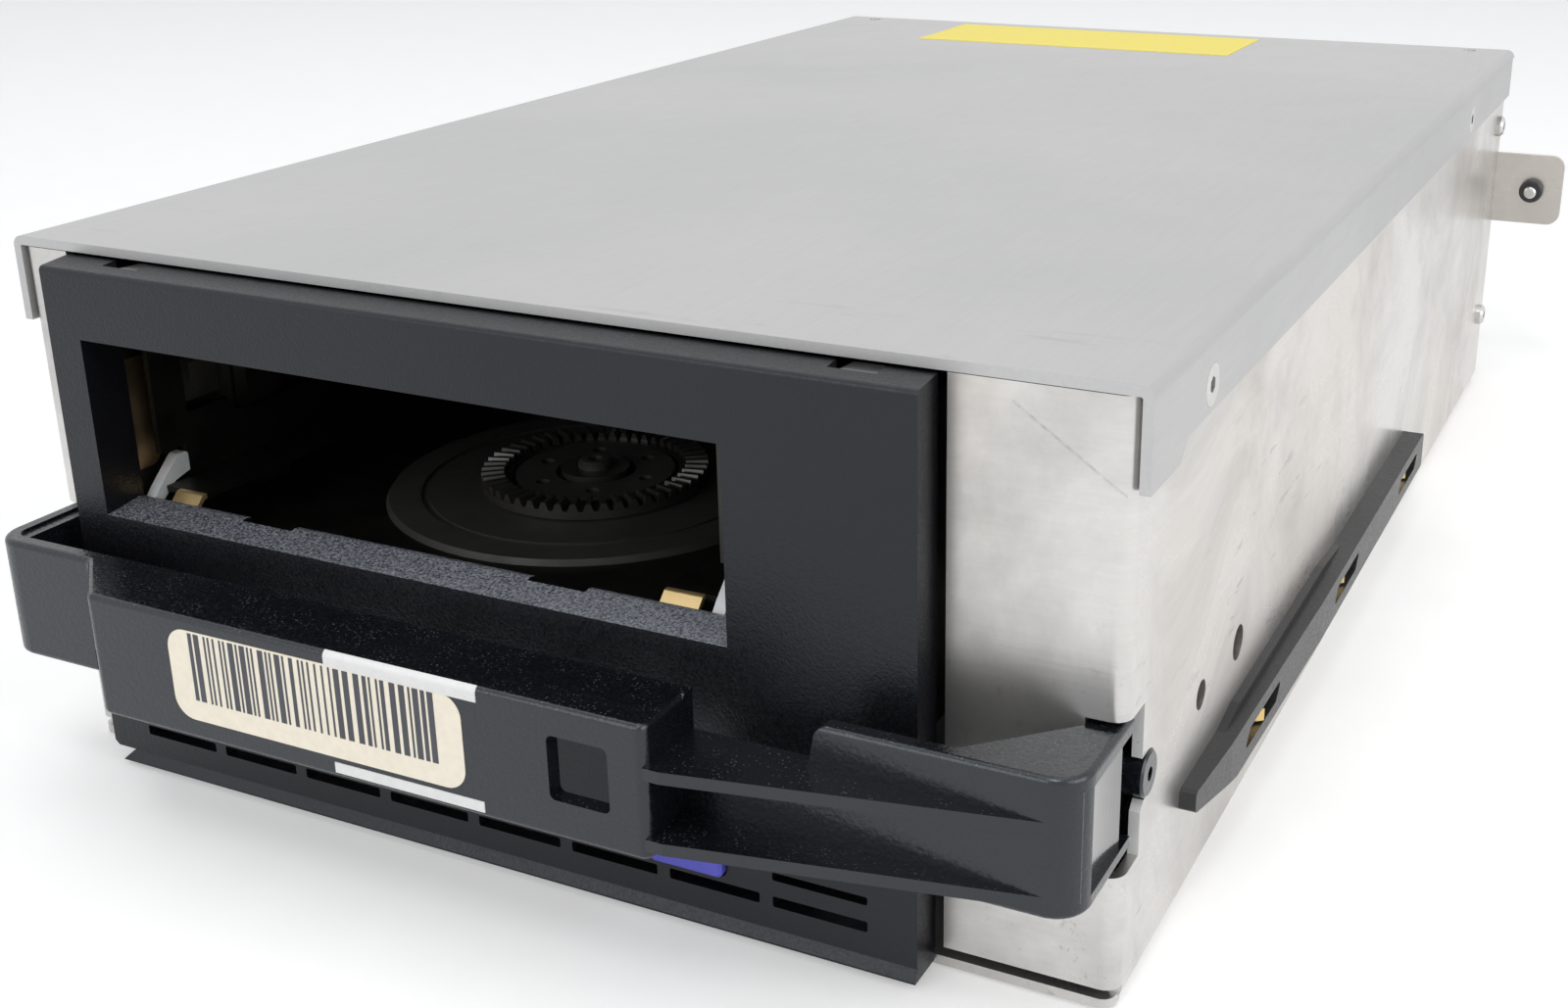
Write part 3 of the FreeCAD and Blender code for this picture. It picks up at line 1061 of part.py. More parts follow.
def clutch_screw():
    centre = V(SLOT_X, REEL_Y, CLUTCH_TOP - CLUTCH_TOOTH_H + 0.8)
    return aim(pan_screw(3.0, 1.4, 1.4, 4.6), centre, Z_AXIS)


def clutch_armature():
    """Steel ring in the clutch's dish that the cartridge's magnet plate grips."""
    z = CLUTCH_TOP - CLUTCH_TOOTH_H - 0.8
    ring = tube(CLUTCH_TOOTH_IN - 2.0, 7.0, 0.9, V(SLOT_X, REEL_Y, z), Z_AXIS)
    holes = [about(rod(1.2, 2, V(SLOT_X + 10.2, REEL_Y, z - 0.5), Z_AXIS), V(SLOT_X, REEL_Y, 0), Z_AXIS,
                   60 * k)
             for k in range(6)]
    return ring.cut(holes)


def take_up_reel():
    """Flanged take-up reel with a leader slot in its hub."""
    base = V(SLOT_X, TAKEUP_Y, 0)
    top = TAKEUP_LOW + FLANGE_T + TAPE_W
    lower = rod(TAKEUP_R, FLANGE_T, base + V(0, 0, TAKEUP_LOW), Z_AXIS)
    upper = rod(TAKEUP_R, FLANGE_T, base + V(0, 0, top), Z_AXIS)
    hub = rod(TAKEUP_HUB_R, TAPE_W + 0.2, base + V(0, 0, TAKEUP_LOW + FLANGE_T - 0.1), Z_AXIS)
    neck = rod(9.0, TAKEUP_LOW - DECK_Z - MOTOR_FLANGE_T - 0.3,
               base + V(0, 0, DECK_Z + MOTOR_FLANGE_T + 0.3), Z_AXIS)
    spindle_low = DECK_LOW - MOTOR_CAN_H + 3
    spindle = rod(SPINDLE_R, DECK_Z + MOTOR_FLANGE_T + 1 - spindle_low, base + V(0, 0, spindle_low), Z_AXIS)
    reel = union([hub, lower, upper, neck, spindle])
    leader = box(SLOT_X - 5, SLOT_X + 5, TAKEUP_Y - TAKEUP_HUB_R - 1, TAKEUP_Y - TAKEUP_HUB_R + 8,
                 TAKEUP_LOW + FLANGE_T, top)
    windows = []
    for k in range(6):
        spot = rod(5.0, FLANGE_T + 2, base + V(28.0, 0, top - 1), Z_AXIS)
        windows.append(about(spot, base, Z_AXIS, 60 * k))
    return reel.cut([leader] + windows)


def tape_pack():
    """Tape wound on the take-up hub: the leader end left on the reel."""
    low = TAKEUP_LOW + FLANGE_T + 0.35
    return tube(TAKEUP_HUB_R + 5.0, TAKEUP_HUB_R, TAPE_W - 0.7, V(SLOT_X, TAKEUP_Y, low), Z_AXIS)


def guide_roller(spot):
    x, y = spot
    height = TAPE_W + 2 * FLANGE_T
    body = rod(ROLLER_R, height, V(x, y, ROLLER_LOW), Z_AXIS)
    caps = [rod(ROLLER_FLANGE_R, FLANGE_T, V(x, y, z), Z_AXIS) for z in (ROLLER_LOW,
                                                                         ROLLER_LOW + height - FLANGE_T)]
    bore = rod(ROLLER_SHAFT_R + BEARING_FIT, height + 2, V(x, y, ROLLER_LOW - 1), Z_AXIS)
    return body.fuse(caps).removeSplitter().cut(bore)


def roller_posts():
    posts = []
    height = TAPE_W + 2 * FLANGE_T
    for x, y in ROLLER_SPOTS:
        foot = rod(3.6, ROLLER_LOW - 0.2 - DECK_Z, V(x, y, DECK_Z), Z_AXIS)
        shaft = rod(ROLLER_SHAFT_R, height + 3.0, V(x, y, ROLLER_LOW - 1), Z_AXIS)
        cap = rod(2.6, 0.8, V(x, y, ROLLER_LOW + height + 0.3), Z_AXIS)
        posts.append(union([foot, shaft, cap]))
    return posts


# ---------------------------------------------------------------- head
def head_frame():
    """Upright bracket with the two guide rods that the head carriage climbs."""
    left = HEAD_ROD_X - 5.0
    y0 = HEAD_ROD_Y[0] - 2.1
    y1 = HEAD_ROD_Y[1] + 2.1
    foot = box(left, left + 15.5, y0, y1, DECK_Z, DECK_Z + 2.5)
    wall = box(left, left + 2.0, y0, y1, DECK_Z, HEAD_TOP)
    roof = box(left, left + 9.0, y0, y1, HEAD_TOP - 2.0, HEAD_TOP)
    rods = [rod(HEAD_ROD_R, HEAD_TOP - DECK_Z - 1, V(HEAD_ROD_X, y, DECK_Z + 1),
                Z_AXIS) for y in HEAD_ROD_Y]
    return union([foot, wall, roof] + rods)


def head_carriage():
    z0 = HEAD_Z - HEAD_HALF
    z1 = HEAD_Z + HEAD_HALF
    block = box(HEAD_ROD_X - 2.4, HEAD_ROD_X + 6.1, HEAD_ROD_Y[0] - 1.7, HEAD_ROD_Y[1] + 1.7, z0, z1)
    bores = [rod(HEAD_ROD_R + BEARING_FIT, 2 * HEAD_HALF + 2, V(HEAD_ROD_X, y, z0 - 1),
                 Z_AXIS) for y in HEAD_ROD_Y]
    return block.cut(bores)


def tape_head():
    """Read and write head: two bumps on a ceramic bar, facing the tape."""
    z0 = HEAD_Z - 9.0
    z1 = HEAD_Z + 9.0
    return plan([(-68.4, 112.4), (-66.0, 112.4), (-64.4, 113.3, 0.8), (-65.0, 114.6), (-65.0, 116.0),
                 (-64.4, 117.2, 0.8), (-66.0, 118.2), (-68.4, 118.2)], z0, z1)


# ================================================================ boards and rear
def main_board():
    board = plan([(-76, 80, 2), (60, 80, 2), (60, 200.5, 2), (-76, 200.5, 2)], MAIN_BOARD_Z,
                 MAIN_BOARD_Z + BOARD_T)
    holes = [rod(1.4, 4, V(x, y, MAIN_BOARD_Z - 1), Z_AXIS) for x, y in MAIN_BOARD_POSTS]
    return board.cut(holes)


def main_board_chips():
    z = MAIN_BOARD_Z + BOARD_T
    places = [(20, 95, 22, 22, 2.0), (-10, 100, 14, 14, 1.4), (40, 130, 12, 18, 1.4),
              (-62, 100, 10, 18, 1.4),
              (30, 170, 16, 12, 1.6), (-30, 170, 14, 10, 1.4)]
    return [box(x, x + w, y, y + d, z, z + h) for x, y, w, d, h in places]


def drive_plug():
    """Rear connector of the drive, on the main board's edge."""
    x0 = REAR_PLUG_X - REAR_PLUG_W / 2
    body = box(x0, x0 + REAR_PLUG_W, 196.0, DRIVE_D + 4.0, MAIN_BOARD_Z + BOARD_T,
               REAR_PLUG_Z + REAR_PLUG_H)
    mouth = box(x0 + 2, x0 + REAR_PLUG_W - 2, DRIVE_D - 3.0, DRIVE_D + 5.0, REAR_PLUG_Z + 2.0,
                REAR_PLUG_Z + REAR_PLUG_H - 2.0)
    return body.cut(mouth)


def sled_plug():
    """Mating plug on the sled board; its tongue sits in the drive's connector."""
    x0 = REAR_PLUG_X - REAR_PLUG_W / 2
    body = box(x0, x0 + REAR_PLUG_W, DRIVE_D + 4.2, BOARD_Y + 8.0, BOARD_Z + BOARD_T,
               REAR_PLUG_Z + REAR_PLUG_H)
    tongue = box(x0 + 2.3, x0 + REAR_PLUG_W - 2.3, DRIVE_D - 2.5, DRIVE_D + 5.0, REAR_PLUG_Z + 2.3,
                 REAR_PLUG_Z + REAR_PLUG_H - 2.3)
    return union([body, tongue])


def sled_board():
    board = plan([(BOARD_L, BOARD_Y, 2), (BOARD_R, BOARD_Y, 2), (BOARD_R, BOARD_BACK, 2),
                  (BOARD_L, BOARD_BACK, 2)],
                 BOARD_Z, BOARD_Z + BOARD_T)
    return board.cut([rod(1.4, 4, V(x, y, BOARD_Z - 1), Z_AXIS) for x, y in BOARD_POSTS])


def board_standoffs():
    posts = []
    for x, y in BOARD_POSTS:
        post = plan([(x + 2.8 * math.cos(math.radians(60 * k)),
                      y + 2.8 * math.sin(math.radians(60 * k))) for k in range(6)],
                    SHEET, BOARD_Z)
        stud = rod(SCREW_R, SHEET, V(x, y, 0), Z_AXIS)
        posts.append(post.fuse(stud))
    return posts


def sled_board_parts():
    z = BOARD_Z + BOARD_T
    parts = [box(-30, -12, 232, 250, z, z + 2.0), box(-70, -56, 236, 246, z, z + 1.6),
             box(-14, -2, 262, 274, z, z + 1.6)]
    for x, y in ((-46.0, 262.0), (-36.0, 262.0)):
        can = rod(4.0, 12.0, V(x, y, z), Z_AXIS)
        rim = [e for e in can.Edges if abs(e.BoundBox.ZMin - z - 12.0) < 1e-6]
        parts.append(can.makeChamfer(0.6, rim))
    return parts


def board_screws():
    """Small screws that hold both circuit boards down."""
    spots = [(x, y, MAIN_BOARD_Z + BOARD_T) for x, y in MAIN_BOARD_POSTS]
    spots += [(x, y, BOARD_Z + BOARD_T) for x, y in BOARD_POSTS]
    return [aim(pan_screw(2.3, 1.4, 1.3, BOARD_T), V(x, y, z), Z_AXIS) for x, y, z in spots]


def blind_mate_connector():
    """Rear connector that finds its partner as the sled is pushed home."""
    x0 = CONNECTOR_X - CONNECTOR_W / 2
    body = box(x0, x0 + CONNECTOR_W, BOARD_BACK - 9.0, TRAY_D + 5.0, CONNECTOR_Z, CONNECTOR_Z + CONNECTOR_H)
    back = TRAY_D + 5.0
    edges = [e for e in body.Edges if e.BoundBox.YLength < 1e-6 and abs(e.BoundBox.YMin - back) < 1e-6]
    body = body.makeChamfer(0.8, edges)
    mouth = front_rect(x0 + 9.0, CONNECTOR_Z + 3.2, CONNECTOR_W - 18.0, CONNECTOR_H - 6.4, TRAY_D - 4.0,
                       TRAY_D + 6.0, 0.8)
    guides = [rod(2.3, 12.0, V(x0 + dx, TRAY_D - 6.0, CONNECTOR_Z + CONNECTOR_H / 2),
                  Y_AXIS) for dx in (4.5, CONNECTOR_W - 4.5)]
    return body.cut([mouth] + guides)


# ---------------------------------------------------------------- fan
def fan_frame():
    half = FAN / 2
    body = front_rect(FAN_X - half, FAN_Z - half, FAN, FAN, FAN_FRONT, REAR_PANEL_Y, 4.0)
    bore = rod(FAN_BORE, FAN_D + 2, V(FAN_X, FAN_FRONT - 1, FAN_Z), Y_AXIS)
    ring = body.cut(bore)
    cup = rod(FAN_HUB, 2.2, V(FAN_X, FAN_FRONT, FAN_Z), Y_AXIS)
    spoke = box(FAN_X - 1.6, FAN_X + 1.6, FAN_FRONT, FAN_FRONT + 2.2, FAN_Z + FAN_HUB - 1,
                FAN_Z + FAN_BORE + 1)
    spokes = [about(spoke, V(FAN_X, 0, FAN_Z), Y_AXIS, 45 + 90 * k) for k in range(4)]
    post = tube(4.0, FAN_PIN_R + BEARING_FIT, 7.0, V(FAN_X, FAN_FRONT, FAN_Z), Y_AXIS)
    frame = union([ring, cup] + spokes).cut(rod(FAN_PIN_R + BEARING_FIT, 4,
                                                V(FAN_X, FAN_FRONT + 0.8, FAN_Z), Y_AXIS))
    frame = frame.fuse(post).removeSplitter()
    holes = []
    for dx in (-FAN_SCREW, FAN_SCREW):
        for dz in (-FAN_SCREW, FAN_SCREW):
            holes.append(rod(FAN_SCREW_R + SCREW_FIT, FAN_D + 2, V(FAN_X + dx, FAN_FRONT - 1, FAN_Z + dz),
                             Y_AXIS))
    return frame.cut(holes)


def fan_rotor():
    start = FAN_FRONT + 2.6
    length = FAN_D - 3.4
    axis = V(FAN_X, 0, FAN_Z)
    cup = rod(FAN_HUB, length, axis + V(0, start, 0),
              Y_AXIS).cut(rod(FAN_HUB - 1.5, length - 1.5, axis + V(0, start, 0), Y_AXIS))
    pin = rod(FAN_PIN_R, length + 1.3, axis + V(0, start - 1.6, 0), Y_AXIS)
    rotor = cup.fuse(pin)
    blades = []
    for k in range(BLADES):
        sections = []
        for radius, pitch in ((FAN_HUB - 0.6, 48.0), ((FAN_HUB + FAN_TIP) / 2, 38.0), (FAN_TIP, 30.0)):
            lean = math.radians(12.0 * (radius - FAN_HUB) / (FAN_TIP - FAN_HUB))
            chord = 4.6
            dx = chord * math.cos(math.radians(pitch))
            dy = chord * math.sin(math.radians(pitch))
            middle = start + length / 2
            ux = V(math.cos(lean), 0, -math.sin(lean))
            uz = V(math.sin(lean), 0, math.cos(lean))
            corners = []
            for s, t in ((-1, -0.4), (1, -0.4), (1, 0.4), (-1, 0.4)):
                corners.append(uz * radius + ux * (s * dx) + V(0, middle + s * dy + t, 0))
            sections.append(Part.makePolygon(corners + [corners[0]]))
        blade = Part.makeLoft(sections, True, True)
        blade.translate(axis)
        blades.append(about(blade, axis, Y_AXIS, 360.0 / BLADES * k))
    return rotor.fuse(blades)


def fan_screws():
    screws = []
    for dx in (-FAN_SCREW, FAN_SCREW):
        for dz in (-FAN_SCREW, FAN_SCREW):
            screws.append(aim(pan_screw(3.4, 1.8, FAN_SCREW_R, 8.0), V(FAN_X + dx, TRAY_D, FAN_Z + dz),
                              Y_AXIS))
    return screws


def cover_label():
    """Plain yellow sticker at the back of the cover."""
    return plan([(-55.0, 264.0), (30.0, 264.0), (30.0, 296.0), (-55.0, 296.0)], SLED_H, SLED_H + LABEL_T)


# ================================================================ build
def build():
    os.makedirs("parts", exist_ok=True)
    save("chassis_tray", chassis_tray())
    save("top_cover", top_cover())
    save("cover_screws", cover_screws())
    save("cover_label", cover_label())
    save("rear_panel", rear_panel())
    save("rear_panel_screws", rear_panel_screws())
    save("captive_screw_right", captive_screw())
    save("captive_screw_left", mirrored(captive_screw()))
    save("captive_ring_right", captive_ring())
    save("captive_ring_left", mirrored(captive_ring()))
    save("side_rail_right", side_rail())
    save("side_rail_left", mirrored(side_rail()))
    save("rail_springs", rail_springs() + [mirrored(s) for s in rail_springs()])
    save("rail_screws", rail_screws())
    save("handle_bail", handle_bail())
    save("handle_label", handle_label())
    save("drive_bezel", drive_bezel())
    save("bezel_clips", bezel_clips())
    save("unload_button", unload_button())
    save("button_switch", button_switch())
    save("status_lights", status_lights())
    save("front_board", front_board())
    save("drive_base", drive_base())
    save("mechanism_deck", mechanism_deck())
    save("carriage_guides", carriage_guides())
    save("drive_top_cover", drive_top_cover())
    save("sled_screws", sled_screws())
    save("carriage_roof", carriage_roof())
    save("carriage_sides", carriage_sides())
    save("carriage_prongs", carriage_prongs())
    save("carriage_tabs", carriage_tabs())
    save("side_spring", side_spring())
    save("slot_sensor", slot_sensor())
    save("reel_motor", motor_housing(REEL_Y, MOTOR_FLANGE_R))
    save("reel_clutch", reel_clutch())
    save("clutch_screw", clutch_screw())
    save("clutch_armature", clutch_armature())
    save("take_up_motor", motor_housing(TAKEUP_Y, MOTOR_CAN_R + 4.0))
    save("take_up_reel", take_up_reel())
    save("tape_pack", tape_pack())
    for k, spot in enumerate(ROLLER_SPOTS):
        save("guide_roller_%d" % (k + 1), guide_roller(spot))
    save("roller_posts", roller_posts())
    save("head_frame", head_frame())
    save("head_carriage", head_carriage())
    save("tape_head", tape_head())
    save("main_board", main_board())
    save("main_board_chips", main_board_chips())
    save("drive_plug", drive_plug())
    save("sled_plug", sled_plug())
    save("sled_board", sled_board())
    save("board_standoffs", board_standoffs())
    save("sled_board_parts", sled_board_parts())
    save("board_screws", board_screws())
    save("blind_mate_connector", blind_mate_connector())
    save("fan_frame", fan_frame())
    save("fan_rotor", fan_rotor())
    save("fan_screws", fan_screws())


build()
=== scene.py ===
import math
import random

import bmesh
import bpy
from mathutils import Matrix, Vector


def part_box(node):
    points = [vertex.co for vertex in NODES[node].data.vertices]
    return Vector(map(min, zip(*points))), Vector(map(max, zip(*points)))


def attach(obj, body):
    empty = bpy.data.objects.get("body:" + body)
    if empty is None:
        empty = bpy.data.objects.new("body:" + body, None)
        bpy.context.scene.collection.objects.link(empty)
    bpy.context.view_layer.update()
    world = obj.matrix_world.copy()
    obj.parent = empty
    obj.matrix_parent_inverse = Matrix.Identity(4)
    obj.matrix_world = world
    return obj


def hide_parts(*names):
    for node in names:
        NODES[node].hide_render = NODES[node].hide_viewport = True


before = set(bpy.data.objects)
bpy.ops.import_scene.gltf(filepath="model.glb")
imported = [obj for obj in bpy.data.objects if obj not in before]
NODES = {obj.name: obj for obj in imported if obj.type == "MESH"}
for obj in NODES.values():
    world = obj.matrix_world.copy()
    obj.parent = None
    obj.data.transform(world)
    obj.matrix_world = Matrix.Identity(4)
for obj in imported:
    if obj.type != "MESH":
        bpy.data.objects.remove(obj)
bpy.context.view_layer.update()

MM = 0.001

# ---------------------------------------------------------------- places of marks and wear, in metres
# Y = 0 is the middle of the sled; its front face is at -152.5 mm.
PANEL_FACE_Y = -150.0 * MM      # only the front panels' outer faces lie in front of this
CUT_EDGE_Y = -143.0 * MM        # middle of the notches' sheared edges in the sled's front corners, where a painted highlight lies
CUT_EDGE_REACH = 4.2 * MM
LONG_SCRATCH_FALL = 0.683       # the long scratch runs down to the right over the right front panel
LONG_SCRATCH_LEVEL = 136.6 * MM     # z + fall * x along it
LONG_SCRATCH_HALF_W = 0.24 * MM
LONG_SCRATCH_X = 84.0 * MM      # its middle, and half of its run
LONG_SCRATCH_REACH = 7.5 * MM

SILL_Z = 45.05 * MM             # sill of the cartridge window, over the bezel's underside
SILL_BELOW = 0.25 * MM          # band of heights that counts as the sill
SILL_ABOVE = 1.3 * MM
SILL_END = 121.2 * MM           # right end of the sill, from the bezel's left side

HANDLE_REACH = 92.4 * MM        # half width over the handle's lips
HANDLE_EDGE = 0.9 * MM          # rounding of the handle's long edges
ARM_BACK = 9.7 * MM             # from the label to the front of the side arms
END_FACE_IN = 9.0 * MM          # the polished end faces lie within this of the pivot pins' ends
END_PLATE_FROM = 2.4 * MM       # run of the end plates, back from the arms' front
END_PLATE_TO = 17.0 * MM
END_PLATE_EDGE = 2.1 * MM       # lips above and below the plates
END_PLATE_BACK = 3.4 * MM       # inner and outer faces of the plates, in from the lips
END_PLATE_FACE = 0.6 * MM
END_PLATE_DISH = 0.45 * MM
END_PLATE_STEPS = 12

LABEL_RISE = 1.7 * MM           # the label runs up under the white stripe
LABEL_CORNER = 3.4 * MM
LABEL_FACE = 0.04 * MM          # paper's face behind the faces of the bars
CORNER_STEPS = 8
BAR_DEPTH = 0.08 * MM
BARS_LEFT = 4.2 * MM            # plain margins round the bars
BARS_RIGHT = 4.0 * MM
BARS_FOOT = 3.4 * MM
BARS_HEAD = 0.3 * MM
BAR_WIDTHS_MM = (0.35, 0.35, 0.7, 1.0)
BAR_GAPS_MM = (0.4, 0.6, 0.9)
BAR_SEED = 7

STRIPE_X = -15.6 * MM           # left end of both white stripes
STRIPE_L = 26.0 * MM
STRIPE_SKIN = 0.14 * MM         # height of the paint over the plastic
STRIPE_ROOT = 0.3 * MM          # how deep the stripe's solid starts
STRIPE_DROP = 2.2 * MM          # how far the upper stripe comes down over the front
STRIPE_BEND = 70                # degrees of the rounded edge that it wraps
LOW_STRIPE_FROM = 0.95 * MM     # heights of the lower stripe over the handle's underside
LOW_STRIPE_TO = 2.6 * MM


# ---------------------------------------------------------------- node helpers
class Mat:
    """A material with a Principled shader and short helpers for its nodes."""

    def __init__(self, name):
        self.mat = bpy.data.materials.new(name)
        self.mat.use_nodes = True
        self.tree = self.mat.node_tree
        self.bsdf = self.tree.nodes["Principled BSDF"]
        self.coords = self.tree.nodes.new("ShaderNodeTexCoord").outputs["Object"]

    def put(self, socket, value):
        self.bsdf.inputs[socket].default_value = value

    def link(self, output, target):
        self.tree.links.new(output, target)

    def feed(self, output, socket):
        self.link(output, self.bsdf.inputs[socket])

    def fed(self, socket):
        """The output that feeds a socket of the shader."""
        return self.bsdf.inputs[socket].links[0].from_socket

    def set_or_link(self, value, socket):
        """Link an output to a socket, or set the socket to a number or a colour."""
        if isinstance(value, (int, float)):
            socket.default_value = value
        elif isinstance(value, tuple):
            socket.default_value = (*value, 1.0)
        else:
            self.link(value, socket)

    def stretch(self, scale, rotation=(0, 0, 0), location=(0, 0, 0)):
        node = self.tree.nodes.new("ShaderNodeMapping")
        node.inputs["Scale"].default_value = scale
        node.inputs["Rotation"].default_value = rotation
        node.inputs["Location"].default_value = location
        self.link(self.coords, node.inputs["Vector"])
        return node.outputs["Vector"]

    def noise(self, scale, detail=4.0, rough=0.55, vector=None, distortion=0.0):
        node = self.tree.nodes.new("ShaderNodeTexNoise")
        node.inputs["Scale"].default_value = scale
        node.inputs["Detail"].default_value = detail
        node.inputs["Roughness"].default_value = rough
        node.inputs["Distortion"].default_value = distortion
        self.link(vector or self.coords, node.inputs["Vector"])
        return node.outputs["Fac"]

    def voronoi(self, scale, feature="F1"):
        node = self.tree.nodes.new("ShaderNodeTexVoronoi")
        node.feature = feature
        node.inputs["Scale"].default_value = scale
        self.link(self.coords, node.inputs["Vector"])
        return node.outputs["Distance"]

    def ramp(self, fac, low, high):
        """Map fac between two stops, each a place and a grey level or a colour."""
        node = self.tree.nodes.new("ShaderNodeValToRGB")
        for element, (place, colour) in zip(node.color_ramp.elements, (low, high)):
            element.position = place
            if isinstance(colour, (int, float)):
                colour = (colour, colour, colour)
            element.color = (*colour, 1.0)
        self.link(fac, node.inputs["Fac"])
        return node.outputs["Color"]

    def geometry(self, output):
        return self.tree.nodes.new("ShaderNodeNewGeometry").outputs[output]

    def math(self, operation, a, b=0.0, c=0.0):
        node = self.tree.nodes.new("ShaderNodeMath")
        node.operation = operation
        for socket, value in zip(node.inputs, (a, b, c)):
            self.set_or_link(value, socket)
        return node.outputs[0]

    def product(self, first, *others):
        for other in others:
            first = self.math("MULTIPLY", first, other)
        return first

    def mix(self, fac, a, b, blend="MIX"):
        node = self.tree.nodes.new("ShaderNodeMix")
        node.data_type = "RGBA"
        node.blend_type = blend
        for socket, value in ((node.inputs["Factor"], fac), (node.inputs[6], a), (node.inputs[7], b)):
            self.set_or_link(value, socket)
        return node.outputs[2]

    def split(self, vector=None):
        node = self.tree.nodes.new("ShaderNodeSeparateXYZ")
        self.link(vector or self.coords, node.inputs[0])
        return node.outputs

    def facing(self, axis):
        """One component of the surface normal: 0 for x, 1 for y, 2 for z."""
        return self.split(self.geometry("Normal"))[axis]

    def bump(self, height, strength, distance):
        node = self.tree.nodes.new("ShaderNodeBump")
        node.inputs["Strength"].default_value = strength
        node.inputs["Distance"].default_value = distance
        self.link(height, node.inputs["Height"])
        return node.outputs["Normal"]


# ---------------------------------------------------------------- materials
def scaled(tint, share):
    return tuple(min(c * share, 1.0) for c in tint)


def cover_paint(name):
    """Satin grey top sheet: even, with faint rub marks near its front edge."""
    m = Mat(name)
    m.put("Metallic", 0.80)
    cloud = m.noise(7.0, 5.0, 0.55, distortion=0.3)
    base = m.ramp(cloud, (0.30, (0.465, 0.467, 0.470)), (0.70, (0.525, 0.525, 0.522)))
    grain = m.noise(1.0, 3.0, 0.6, m.stretch((1400.0, 60.0, 1400.0)))
    base = m.mix(1.0, base, m.ramp(grain, (0.30, 0.95), (0.70, 1.0)), "MULTIPLY")
    rub = m.noise(1.0, 6.0, 0.72, m.stretch((26.0, 190.0, 40.0), (0, 0, 0.12)))
    marks = m.ramp(rub, (0.60, 0.0), (0.68, 1.0))
    depth = m.math("ADD", m.math("MULTIPLY", m.split()[1], 4.0), 0.95)
    near_front = m.ramp(depth, (0.34, 1.0), (0.52, 0.0))
    base = m.mix(m.product(marks, near_front, 0.42), base, (0.30, 0.30, 0.30))
    m.feed(base, "Base Color")
    m.feed(m.ramp(m.noise(45.0, 5.0, 0.6), (0.30, 0.40), (0.70, 0.50)), "Roughness")
    m.feed(m.bump(grain, 0.05, 0.0002), "Normal")
    return m.mat


def long_scratch(m):
    """Mask of the broken, sloping scratch on the right front panel."""
    x, y, z = m.split()
    along = m.math("ADD", m.math("MULTIPLY", x, LONG_SCRATCH_FALL), z)
    return m.product(m.math("COMPARE", along, LONG_SCRATCH_LEVEL, LONG_SCRATCH_HALF_W),
                     m.math("COMPARE", x, LONG_SCRATCH_X, LONG_SCRATCH_REACH),
                     m.math("LESS_THAN", y, PANEL_FACE_Y),
                     m.ramp(m.noise(900.0, 3.0, 0.7), (0.38, 0.04), (0.62, 0.36)))


def sled_metal(name):
    """Bare folded aluminium: level grain, finger smudges, scratches, warm stains, cut edges painted bright
    as a painted highlight.
    """
    m = Mat(name)
    grain = m.noise(1.0, 3.0, 0.6, m.stretch((70.0, 40.0, 1500.0)))
    smudge = m.noise(20.0, 7.0, 0.66, distortion=0.7)
    base = m.ramp(smudge, (0.28, (0.455, 0.446, 0.434)), (0.56, (0.660, 0.650, 0.634)))
    stain = m.noise(9.0, 4.0, 0.6, m.stretch((1, 1, 1), location=(0.31, 0.12, 0.07)))
    warm = m.ramp(stain, (0.46, (1.0, 1.0, 1.0)), (0.66, (0.97, 0.925, 0.885)))
    base = m.mix(1.0, base, warm, "MULTIPLY")
    base = m.mix(1.0, base, m.ramp(grain, (0.30, 0.955), (0.70, 1.0)), "MULTIPLY")
    scratch = m.noise(1.0, 5.0, 0.75, m.stretch((420.0, 60.0, 330.0), (0.55, 0.0, 0.0)))
    marks = m.ramp(scratch, (0.60, 0.0), (0.64, 1.0))
    patch = m.ramp(m.noise(14.0, 3.0, 0.5), (0.50, 0.0), (0.62, 1.0))
    base = m.mix(m.product(marks, patch, 0.5), base, (0.26, 0.25, 0.24))
    base = m.mix(long_scratch(m), base, (0.20, 0.20, 0.20))
    # painted highlight: front-facing sheared edges are painted near white and made less metallic, standing
    # in for light they catch
    painted_edge_highlight = m.product(m.math("LESS_THAN", m.facing(1), -0.3),
                         m.math("COMPARE", m.split()[1], CUT_EDGE_Y, CUT_EDGE_REACH))
    base = m.mix(painted_edge_highlight, base, (0.92, 0.92, 0.91))
    m.feed(m.math("MULTIPLY_ADD", painted_edge_highlight, -0.75, 0.90), "Metallic")
    m.feed(base, "Base Color")
    m.feed(m.ramp(smudge, (0.30, 0.38), (0.65, 0.24)), "Roughness")
    m.feed(m.bump(grain, 0.06, 0.0002), "Normal")
    return m.mat


def moulded_black(name, tint, rough, grain, depth, painted_glints=0.0):
    """Moulded black plastic with a spark-eroded grain; glints are bright specks painted on its up-facing
    shelves, a painted highlight.
    """
    m = Mat(name)
    base = m.ramp(m.noise(40.0, 5.0, 0.6), (0.30, scaled(tint, 0.80)), (0.70, scaled(tint, 1.18)))
    if painted_glints:
        # painted glints: bright specks painted into the colour of up-facing faces, standing in for
        # highlights
        dots = m.ramp(m.voronoi(1700.0), (0.14, 1.0), (0.26, 0.0))
        some = m.ramp(m.noise(230.0, 3.0, 0.6), (0.42, 0.0), (0.62, 1.0))
        shelf = m.ramp(m.facing(2), (0.3, 0.0), (0.8, 1.0))
        base = m.mix(m.product(dots, some, shelf, painted_glints), base, (0.45, 0.46, 0.48))
    m.feed(base, "Base Color")
    pits = m.noise(grain, 2.0, 0.5)
    m.feed(m.ramp(pits, (0.30, rough - 0.07), (0.70, rough + 0.08)), "Roughness")
    m.feed(m.bump(pits, depth, 0.0002), "Normal")
    return m


